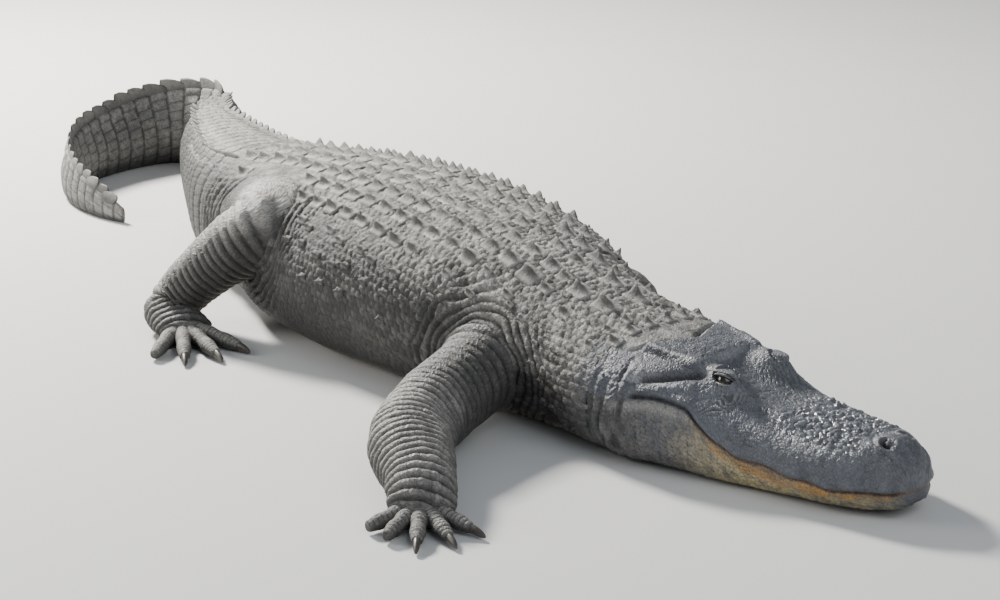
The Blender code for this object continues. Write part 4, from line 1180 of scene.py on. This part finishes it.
def horn_plate(horn, s, arc, length, width, rise, keel, number, rows=19, columns=15):
    """Keeled plate that follows the body, with a ridge that climbs tailwards."""
    u = np.linspace(-0.5, 0.5, rows)[:, None] * np.ones((1, columns))
    lean = np.linspace(-1, 1, columns)
    v = (0.5 * np.sign(lean) * np.abs(lean) ** 1.25)[None, :] * np.ones((rows, 1))
    squeeze = np.sqrt(np.clip(1 - (2 * np.abs(u)) ** 5 * 0.35, 0.1, 1))
    along = u + 0.5
    at_s = s + u * length
    at_arc = arc + v * squeeze * (1 + 0.08 * along) * width
    point, normal = surface_frames(at_s, at_arc)[:2]

    # flat body, ridge and rough horn
    rim = np.minimum(0.5 - np.abs(u), 0.5 - np.abs(v))
    body = ramp(rim, 0.0, 0.13)
    climb = ramp(along, -0.15, PLATE_PEAK) ** 1.9 * fall(along, PLATE_PEAK + 0.03, 0.97)
    sharp = np.clip(1 - np.abs(v) / (0.11 + 0.10 * (1 - along)), 0, 1)
    ridge = 0.62 * sharp ** 0.9 + 0.38 * np.clip(1 - np.abs(v) / 0.42, 0, 1) ** 1.4
    rough = waves((u + number * 7) * 7, (v + number * 5) * 7, 71) * 0.0006
    pits = cells((u + number) * 6, (v + number) * 6, 73, 0.9)[0]
    height = PLATE_ROOT + keel * climb * ridge * ramp(rim, 0.0, 0.06)
    height += body * (rise - PLATE_ROOT + rough - 0.0007 * bump(pits, 0.25))
    points = point + normal * height[..., None]

    # the underside is the rim, sunk under the skin, and a pole
    edge = border(rows, columns)
    below = (point + normal * (PLATE_ROOT - 0.004)).reshape(-1, 3)[edge]
    count = rows * columns
    ring = len(edge)
    j = np.arange(ring)
    k = (j + 1) % ring
    skirt = np.stack([edge[k], edge[j], count + j, count + k], axis=-1)
    floor = np.stack([count + j, np.full(ring, count + ring), count + k], axis=-1)

    # weathered top and dark keel; painted shade at the rim and down the flank; sun marks the keel's
    # painted highlight
    low_down = float(ramp(abs(arc), 0.16, 0.24) * fall(s, *TAIL_START))
    plain = (SUNLIT_BACK * (1 - low_down) + SHADED_FLANK * 2.6 * low_down) * (0.80 + 0.55 * number)
    sun = np.clip(climb * ridge, 0, 1) * (1 - 0.6 * low_down)
    dark = np.clip(2.2 * climb * np.clip(1 - np.abs(v) / 0.32, 0, 1), 0, 1)
    tone = coated(
        CREVICE_SHADE,
        (plain, ramp(rim, 0.02, 0.13)),
        (SUNLIT_BACK * 0.17, dark * (0.75 + 0.2 * number)),
        (SUNLIT_BACK * 0.65, ramp(sharp, 0.70, 0.98) * ramp(climb, 0.3, 0.7) * 0.6))
    under = np.concatenate([edge, [0]])
    marks = [mark.reshape(count, -1) for mark in grid_marks(
        tone, (fall(rim, 0.01, 0.10), sun, 0, 0), (at_s, at_arc, 0),
        (at_s / TOTAL_LENGTH, 0.5 + at_arc / 0.95))]
    marks = [np.concatenate([mark, mark[under]]) for mark in marks]
    marks[0][count:, :3] = CREVICE_SHADE
    marks[1][count:] = (1, 0, 0, 0)
    horn.add(np.concatenate([points.reshape(-1, 3), below, below.mean(axis=0, keepdims=True)]),
             [sheet_faces(rows, columns), skirt, floor], marks)


def rows_per_side(s):
    """Long rows of plates on each side of the midline at s."""
    return 2 + (0.70 <= s < 1.40) + (0.80 <= s < 1.28)


def clear_of_legs(s, arc, margin):
    """Whether a plate at s and arc stays off the legs."""
    point = surface_points(np.array([s]), np.array([arc]))
    return all(limb.distance(point)[0] > margin for limb in LIMBS)


def build_plates(material):
    """Horn plates of nape, back and flank."""
    draw = np.random.default_rng(5)
    horn = Shell()
    for s in np.arange(ROW_START, ROW_END, ROW_PITCH):
        count = rows_per_side(s)
        for side in (-1, 1):
            for k in range(count):
                arc = side * (k + 0.5) * SIDE_PITCH
                size = PLATE_SIZES[k]
                keel = PLATE_KEELS[k] * draw.uniform(0.85, 1.15)
                number = draw.random()
                if clear_of_legs(s, arc, 0.022):
                    horn_plate(horn, s + draw.normal(0, 0.0012), arc + draw.normal(0, 0.0010),
                               0.0405 * size, 0.0385 * size * draw.uniform(0.93, 1.0), 0.0030,
                               keel, number)
            for k in range(3):
                arc = side * ((count + 0.55 + 0.85 * k) * SIDE_PITCH + draw.uniform(-0.006, 0.006))
                shift = draw.uniform(-0.009, 0.009)
                size = draw.uniform(0.50, 0.66) * (1 - 0.15 * k)
                number = draw.random()
                if draw.random() < LOW_PLATE_CHANCES[k] and clear_of_legs(s, arc, 0.040):
                    horn_plate(horn, s + shift, arc, 0.036 * size, 0.026 * size, 0.0020,
                               draw.uniform(0.006, 0.0095), number, 11, 9)
    for s, arc, length, width, keel in NAPE:
        for side in (-1, 1):
            horn_plate(horn, s + draw.normal(0, 0.002), side * arc, length, width, 0.0032,
                       keel * draw.uniform(0.9, 1.1), draw.random())
    for s in np.arange(0.455, 0.640, 0.021):
        for k in range(7):
            arc = 0.098 + 0.023 * k + draw.uniform(-0.005, 0.005)
            for side in (-1, 1):
                size = draw.uniform(0.7, 1.1) * (1 - 0.05 * k)
                at = s + draw.uniform(-0.005, 0.005)
                number = draw.random()
                if draw.random() < 0.62 and clear_of_legs(at, side * arc, 0.036):
                    horn_plate(horn, at, side * arc, 0.016 * size, 0.012 * size, 0.0014,
                               draw.uniform(0.003, 0.0065), number, 9, 7)
    for k in range(len(WHORLS) - 1):
        s = 0.5 * (WHORLS[k] + WHORLS[k + 1])
        pitch = WHORLS[k + 1] - WHORLS[k]
        if s < 2.05:
            gap = float(crest_offset(s))
            for side in (-1, 1):
                horn_plate(horn, s, side * gap * 0.46, pitch * 0.92, gap * 0.84, 0.0024, 0.0022,
                           draw.random())
                if s < 1.80:
                    horn_plate(horn, s, side * (gap + 0.030), pitch * 0.80, 0.026, 0.0018, 0.0060,
                               draw.random(), 11, 9)
    horn.finish("horn_plates", material, "hide")


def crest_blade(horn, s, arc, length, height, lean, number):
    """Upright crest scale of the tail: a thin swept blade, rounded in section."""
    at = np.array([s]), np.array([arc + 1e-6])
    point, normal, back, left = (part[0] for part in surface_frames(*at))
    up = unit(normal + left * lean)
    t = np.linspace(0.0, 1.0, BLADE_ROWS)[:, None]
    angle = (2 * math.pi * np.arange(BLADE_COLUMNS) / BLADE_COLUMNS)[None, :]
    front = -0.66 + 0.90 * t ** 4.5
    rear = 0.56 + 0.14 * t - 0.12 * t ** 6
    behind = ((front + rear) / 2 + 0.5 * np.maximum(rear - front, 0.05) * np.cos(angle)) * length
    lens = np.sign(np.sin(angle)) * np.abs(np.sin(angle)) ** 0.8
    sway = 0.0009 * (1 if number > 0.5 else -1) + 0.0006 * np.sin(7 * t + number * 6)
    aside = (0.0068 * (1 - t) ** 0.8 + 0.0011) * lens + sway
    rise = -0.012 + (height + 0.012) * t + 0 * angle
    points = point + sum(reach[..., None] * axis
                         for reach, axis in ((behind, back), (aside, left), (rise, up)))
    # painted light: the blade dark at its root as in shade and lighter towards its tip as in sun,
    # with painted shade along its front and rear edges
    tone = coated(LIT_TAIL_SIDE * 0.45, (SUNLIT_BACK * (0.6 + 0.3 * number), ramp(t, 0.2, 1.0) + 0 * angle),
                  (CREVICE_SHADE, 0.85 * ramp(np.abs(np.cos(angle)), 0.80, 0.98)))
    along = s + (points - point) @ back
    around = arc + (points - point) @ up
    horn.add_tube(points, grid_marks(tone, (0, 0.4, 0, 0), (along, around, 0),
                                     (along / TOTAL_LENGTH, 0.5 + around / 0.4)), (CREVICE_SHADE, SUNLIT_BACK))


def build_crest(material):
    """Double, then single, row of crest scales along the tail."""
    draw = np.random.default_rng(8)
    horn = Shell()
    for k in range(len(WHORLS) - 1):
        s = 0.5 * (WHORLS[k] + WHORLS[k + 1])
        pitch = WHORLS[k + 1] - WHORLS[k]
        height = float(crest_height(s)) * draw.uniform(0.93, 1.05)
        if s < CREST_MEETING:
            for side in (-1, 1):
                lowered = height * (1 - 0.45 * float(ramp(s, 2.02, 2.20)))
                crest_blade(horn, s, side * float(crest_offset(s)), pitch * 1.10,
                            lowered * draw.uniform(0.92, 1.06), side * 0.25, draw.random())
        elif s < 2.985:
            crest_blade(horn, s, 0.0, pitch * 1.16, height, 0.0, draw.random())
    horn.finish("tail_crest", material, "hide")


def lid_edge(turn):
    """Angle from the middle of the eye's opening to its edge, by turn round the opening."""
    tall = EYE_OPENING[1] * np.where(np.sin(turn) > 0, 0.80, 1.0)
    shape = np.abs(np.cos(turn) / EYE_OPENING[0]) ** 1.7 + np.abs(np.sin(turn) / tall) ** 1.7
    return np.arcsin(np.clip(shape ** (-1 / 1.7), 0.0, 0.93))


def lid_profile(from_edge, turn):
    """Height of the lids over the eyeball: rolled rim, folds and the brow shield."""
    rim = np.clip(from_edge / 0.0017, 0, 1)
    height = 0.0008 + 0.0024 * np.sqrt(rim * (2 - rim))
    height = height - 0.0012 * bump(from_edge - 0.0042, 0.0010)
    height = height - 0.0008 * bump(from_edge - 0.0078, 0.0009)
    rising = ramp(np.sin(turn), 0.05, 0.65)
    brow = 0.0042 * bump(from_edge - 0.0085, 0.0042) * rising
    lower = 0.0010 * bump(from_edge - 0.0062, 0.0016) * ramp(-np.sin(turn), 0.1, 0.5)
    return height + brow + lower


def build_lids(material):
    """Domed lids and brow over each eye, open along an almond slit."""
    lids = Shell()
    turn = np.linspace(0, 2 * math.pi, LID_COLUMNS, endpoint=False)[None, :]
    steps = np.linspace(0.0, 1.0, LID_ROWS)[:, None] ** 1.25
    edge = lid_edge(turn)
    outer = edge + (math.radians(LID_REACH) - edge) * steps
    from_edge = (outer - edge) * EYE_RADIUS
    rough, crack = cells(turn * 14 / math.pi, from_edge / 0.0030, 91, 0.8, 28.0)[:2]
    grain = 0.0006 * fall(rough, 0.2, 0.7) - 0.0005 * fall(crack, 0.0, 0.15)
    radius = EYE_RADIUS + lid_profile(from_edge, turn) + grain * ramp(from_edge, 0.003, 0.006)
    inner = [np.full_like(edge, 0.0005), np.full_like(edge, EYE_RADIUS - 0.002)]
    radius = np.concatenate(inner + [radius])
    angle = np.concatenate([edge, edge, outer])
    from_edge = np.concatenate([0 * edge, 0 * edge, from_edge])
    turn = turn + 0 * radius
    below = ramp(-np.sin(turn), 0.15, 0.5)
    top = ramp(np.sin(turn), 0.1, 0.6)
    # painted shade in the lid's fold and round the rim of the opening
    tone = coated(
        HEAD_DARK,
        (HEAD_TOP, 0.5 + 0.5 * top),
        (LID_RIM, below * bump(from_edge - 0.0016, 0.0012) * 0.9),
        (LID_BROW, top * bump(from_edge - 0.0088, 0.0022) * 0.5),
        (CREVICE_SHADE, np.maximum(bump(from_edge - 0.0042, 0.0012), fall(from_edge, 0, 0.0008))))
    for side in (-1, 1):
        points = dome(side, angle, turn, radius, LID_STRETCH)
        over = np.maximum(points[..., 2] - EYE_HEIGHT - 0.0125, 0.0)
        points[..., 2] += 0.0030 * (1 - np.exp(-over / 0.0030)) - over
        lids.add_tube(points, grid_marks(
            tone, (0, 0.35, 1, 0), (EYE_S + from_edge, 0.02 * turn, 0),
            (turn / UNWRAP_TURN, 0.02 + 0.48 * (side > 0) + 0.45 * angle / 2.2)),
            (OPENING_SHADE, OPENING_SHADE))
    lids.finish("eyelids", material, "head_hide")


class Nodes:
    """Short calls to build a material's nodes."""

    def __init__(self, name):
        self.material = bpy.data.materials.new(name)
        self.material.use_nodes = True
        self.tree = self.material.node_tree

    def feed(self, socket, value):
        """Set an input socket or link something into it."""
        if isinstance(value, bpy.types.NodeSocket):
            self.tree.links.new(value, socket)
        elif isinstance(value, tuple):
            socket.default_value = (*value, 1.0)
        else:
            socket.default_value = value

    def node(self, kind, inputs=None, **settings):
        """New node with its settings made and its inputs fed by name or number."""
        node = self.tree.nodes.new("ShaderNode" + kind)
        for key, value in settings.items():
            setattr(node, key, value)
        for key, value in (inputs or {}).items():
            self.feed(node.inputs[key], value)
        return node

    def spot(self):
        """Place in the object."""
        return self.node("TexCoord").outputs["Object"]

    def mark(self, name, output="Color"):
        """One of the mesh's markings."""
        return self.node("Attribute", attribute_name=name).outputs[output]

    def maths(self, operation, a, b=0.0, clamp=False):
        """One sum on two numbers."""
        return self.node("Math", {0: a, 1: b}, operation=operation, use_clamp=clamp).outputs[0]

    def times(self, a, b):
        """Product of two numbers."""
        return self.maths('MULTIPLY', a, b)

    def noise(self, vector, scale, detail=4.0, rough=0.55):
        """Noise value."""
        return self.node("TexNoise", {"Vector": vector, "Scale": scale, "Detail": detail,
                                      "Roughness": rough}).outputs["Fac"]

    def cracks(self, vector, scale, randomness=1.0):
        """Distance to the edge of a cell."""
        return self.node("TexVoronoi", {"Vector": vector, "Scale": scale, "Randomness": randomness},
                         feature='DISTANCE_TO_EDGE').outputs["Distance"]

    def span(self, value, low, high, to_low=0.0, to_high=1.0):
        """Map a number from one range to another, clamped."""
        return self.node("MapRange", {"Value": value, "From Min": low, "From Max": high,
                                      "To Min": to_low, "To Max": to_high}).outputs["Result"]

    def mix(self, factor, a, b, blend='MIX'):
        """Blend of two colours."""
        return self.node("Mix", {0: factor, 6: a, 7: b}, data_type='RGBA',
                         blend_type=blend).outputs[2]

    def shaded(self, colour, broad, fine, low, high, spread):
        """A colour made lighter and darker by a broad and a fine noise."""
        shade = self.maths('ADD', self.span(broad, 0.3, 0.7, low, high),
                           self.span(fine, 0.3, 0.7, -spread, spread))
        grey = self.node("CombineColor", {0: shade, 1: shade, 2: shade}).outputs[0]
        return self.mix(1.0, colour, grey, 'MULTIPLY')

    def raised(self, height, distance, strength, **under):
        """Bump from a height, over another bump where one is given."""
        return self.node("Bump", {"Strength": strength, "Distance": distance, "Height": height,
                                  **under}).outputs["Normal"]

    def done(self, **inputs):
        """Feed the shader and return the material."""
        shader = self.tree.nodes["Principled BSDF"]
        for key, value in inputs.items():
            self.feed(shader.inputs[key.replace("_", " ")], value)
        return self.material


def hide_material():
    """Scaly hide: tint from the markings, pale dust and painted sunlight on sunlit tops, painted
    shade in the fine cracks, damp snout.
    """
    n = Nodes("hide")
    spot = n.spot()
    wet, head = n.node("SeparateColor", {0: n.mark("touch")}).outputs[1:3]
    lie = n.mark("lie", "Vector")
    broad = n.noise(spot, 9.0, 3.0)
    fine = n.noise(spot, 95.0, 5.0, 0.65)
    grain = n.noise(spot, 420.0, 3.0, 0.6)
    pebble = n.cracks(lie, 210.0)
    wrinkle = n.cracks(lie, 120.0, 0.85)
    colour = n.shaded(n.mark("tint"), broad, fine, 0.78, 1.18, 0.26)
    # pale dust and painted sunlight where the markings say sunlit
    dust_and_sunlight = n.times(n.span(fine, 0.52, 0.70), n.mark("touch", "Alpha"))
    colour = n.mix(n.times(dust_and_sunlight, 0.45), colour, (0.36, 0.34, 0.30))
    # painted shade in the fine cracks between pebbles
    colour = n.mix(n.span(pebble, 0.0, 0.10, 0.50, 0.0), colour, (0.022, 0.021, 0.020))
    cool = n.times(head, n.span(broad, 0.35, 0.7, 0.0, 0.30))
    colour = n.mix(cool, colour, (0.10, 0.107, 0.122))
    rough = n.maths('SUBTRACT', n.span(fine, 0.3, 0.7, 0.58, 0.80), n.times(wet, 0.36))
    rough = n.maths('SUBTRACT', rough, n.times(head, 0.10), True)
    height = n.maths('ADD', n.times(n.span(pebble, 0.0, 0.22), 0.55),
                     n.times(n.span(wrinkle, 0.0, 0.12), 0.45))
    height = n.maths('ADD', height, n.times(fine, 0.6))
    bumped = n.raised(grain, 0.0005, 0.5, Normal=n.raised(height, 0.0012, 0.75))
    return n.done(Base_Color=colour, Roughness=rough, Normal=bumped, IOR=1.45)


def horn_material(name, lift):
    """Weathered horn: keels paled partly by wear and partly by painted highlight where sunlit, and
    painted shade in the pits.
    """
    n = Nodes(name)
    spot = n.spot()
    sunlit = n.node("SeparateColor", {0: n.mark("touch")}).outputs[1]
    fine = n.noise(spot, 120.0, 5.0, 0.65)
    broad = n.noise(spot, 14.0, 3.0)
    grain = n.noise(spot, 480.0, 3.0)
    pit = n.cracks(spot, 230.0)
    colour = n.shaded(n.mark("tint"), broad, fine, 0.80 * lift, 1.16 * lift, 0.22)
    # pale keels, partly wear and partly painted highlight where the markings say sunlit
    worn_and_sunlit = n.times(sunlit, n.span(fine, 0.45, 0.65))
    colour = n.mix(n.times(worn_and_sunlit, 0.10), colour, (0.42, 0.40, 0.35))
    # painted shade in the pits
    colour = n.mix(n.span(pit, 0.0, 0.08, 0.35, 0.0), colour, (0.05, 0.048, 0.045))
    height = n.maths('ADD', n.times(fine, 0.7), n.times(n.span(pit, 0.0, 0.25), 0.4))
    bumped = n.raised(grain, 0.0005, 0.5, Normal=n.raised(height, 0.0012, 0.8))
    rough = n.span(fine, 0.3, 0.7, 0.55, 0.80)
    return n.done(Base_Color=colour, Roughness=rough, Normal=bumped, IOR=1.45)


def eye_material(name):
    """Dark eye with a slit pupil, an olive iris and a wet surface."""
    n = Nodes(name)
    lie = n.mark("lie", "Vector")
    x, y = n.node("SeparateXYZ", {0: lie}).outputs[:2]
    square = n.times(y, y)
    slit = n.maths('ADD', n.times(n.maths('ABSOLUTE', x), 7.0), n.times(square, 4.0))
    radius = n.maths('SQRT', n.maths('ADD', n.times(x, x), square))
    iris = n.mix(n.noise(lie, 24.0, 4.0, 0.7), (0.008, 0.006, 0.004), (0.034, 0.026, 0.012))
    iris = n.mix(n.span(radius, 0.62, 0.80), iris, (0.022, 0.018, 0.012))
    colour = n.mix(n.span(slit, 0.85, 1.05), (0.003, 0.003, 0.003), iris)
    return n.done(Base_Color=colour, Roughness=0.06, IOR=1.38, Coat_Weight=1.0, Coat_Roughness=0.03)


def build_eye(side, label):
    """Eyeball with a slight cornea; its lie is measured across its front."""
    polar = np.linspace(0.02, math.pi - 0.02, EYE_ROWS)[:, None]
    turn = np.linspace(0, 2 * math.pi, EYE_POINTS, endpoint=False)[None, :]
    radius = (EYE_RADIUS - 0.0004) * (1 + 0.03 * bump(polar, 0.6))
    points = dome(side, polar, turn, radius)
    centre, _, ahead, upward = eye_axes(side)
    direction = (points - centre) / radius[..., None]
    eye = Shell()
    eye.add_tube(points, grid_marks(np.ones(points.shape), (0, 0, 0, 0),
                                    (direction @ ahead, direction @ upward, 0),
                                    (turn / UNWRAP_TURN, polar / 3.2)))
    eye.finish("eyeball_" + label, eye_material(f"eye_{label}_wet"), "eye", "eye_" + label)


def claw_material():
    """Dark worn claw horn."""
    n = Nodes("claw_horn")
    streak = n.noise(n.spot(), 260.0)
    colour = n.mix(streak, (0.020, 0.018, 0.016), (0.10, 0.088, 0.070))
    return n.done(Base_Color=colour, Roughness=n.span(streak, 0.3, 0.7, 0.30, 0.50),
                  Normal=n.raised(streak, 0.0004, 0.5))


def build_claw(node, base, direction, radius, material):
    """Curved claw, in place of its solid, whose tip drops to just over the floor."""
    t = np.linspace(0.0, 1.0, CLAW_ROWS)
    centres = base[None, :] + direction[None, :] * (CLAW_LENGTH * (t * 1.22 - 0.22))[:, None]
    centres[:, 2] -= 0.0062 * t ** 1.8
    size = radius * (0.9 + 0.1 * np.cos(t)) * np.sqrt(np.clip(1 - t ** 2.2, 0.004, 1))
    points, _, angle = tube_points(centres, size * 0.8, size, CLAW_POINTS)
    points[..., 2] = np.maximum(points[..., 2], 0.0)
    claw = Shell()
    claw.add_tube(points, grid_marks(np.ones(points.shape), (0, 0, 0, 0), (0, 0, 0),
                                     (t[:, None], angle / UNWRAP_TURN)))
    claw.finish(node.replace("claw", "nail"), material, "claw", node)


def build_claws():
    """Claws of all four feet."""
    material = claw_material()
    for limb in LIMBS:
        for k, (root, direction, reach) in enumerate(toe_lines(limb)[:CLAWED_TOES]):
            tip = root + direction * (reach + GAP)
            tip[2] = CLAW_ROOT_HEIGHT
            build_claw(f"claw_{limb.names[2]}_{limb.label}_{k + 1}", tip, direction,
                       limb.form["radius"] * CLAW_THICKNESS, material)


def camera_frame():
    """Camera place and heading in the animal's frame."""
    turn = math.radians(CAMERA_TURN)
    x, y = CAMERA_SNOUT
    return Vector((SNOUT_X - x * math.cos(turn) - y * math.sin(turn),
                   SNOUT_Y + x * math.sin(turn) - y * math.cos(turn), CAMERA_HEIGHT)), -turn


def add_camera():
    """Camera at the photo's viewing angle."""
    spot, heading = camera_frame()
    camera = bpy.data.cameras.new("camera")
    camera.lens = CAMERA_LENS
    camera.sensor_width = CAMERA_SENSOR
    camera.clip_end = CAMERA_FAR
    thing = bpy.data.objects.new("camera", camera)
    bpy.context.scene.collection.objects.link(thing)
    pitch = math.radians(90.0 - CAMERA_PITCH)
    thing.matrix_world = (Matrix.Translation(spot) @ Matrix.Rotation(heading, 4, 'Z')
                          @ Matrix.Rotation(pitch, 4, 'X'))
    bpy.context.scene.camera = thing


def add_light(name, size, power, offset, colour):
    """Soft square light; its offset is right, away and up as the camera sees it."""
    heading = camera_frame()[1]
    right = Vector((math.cos(heading), math.sin(heading), 0))
    away = Vector((-math.sin(heading), math.cos(heading), 0))
    spot = right * offset[0] + away * offset[1] + Vector((0, 0, offset[2]))
    lamp = bpy.data.lights.new(name, 'AREA')
    lamp.shape = 'SQUARE'
    lamp.size = size
    lamp.energy = power
    lamp.color = colour
    thing = bpy.data.objects.new(name, lamp)
    bpy.context.scene.collection.objects.link(thing)
    thing.location = spot
    thing.rotation_euler = (-spot).to_track_quat('-Z', 'Y').to_euler()


def add_stage():
    """Pale floor and soft studio light."""
    bpy.ops.mesh.primitive_plane_add(size=FLOOR_SIZE, location=(0, 0, -0.0005))
    floor = bpy.context.object
    floor.name = "floor"
    n = Nodes("floor_pale")
    colour = n.mix(n.noise(n.spot(), 3.0, 3.0), (0.60, 0.60, 0.585), (0.64, 0.64, 0.63))
    floor.data.materials.append(n.done(Base_Color=colour, Roughness=0.8))
    world = bpy.data.worlds.new("studio")
    world.use_nodes = True
    sky = world.node_tree.nodes["Background"]
    sky.inputs[0].default_value = (*SKY_COLOUR, 1.0)
    sky.inputs[1].default_value = SKY_STRENGTH
    bpy.context.scene.world = world
    for light in LIGHTS:
        add_light(*light)


def build():
    """Make every piece of the looks."""
    hide_look = hide_material()
    build_hide(hide_look)
    build_plates(horn_material("horn", 1.0))
    build_crest(horn_material("crest_horn", 0.95))
    build_lids(hide_look)
    build_eye(-1, "right")
    build_eye(1, "left")
    build_claws()
    add_stage()
    add_camera()


build()
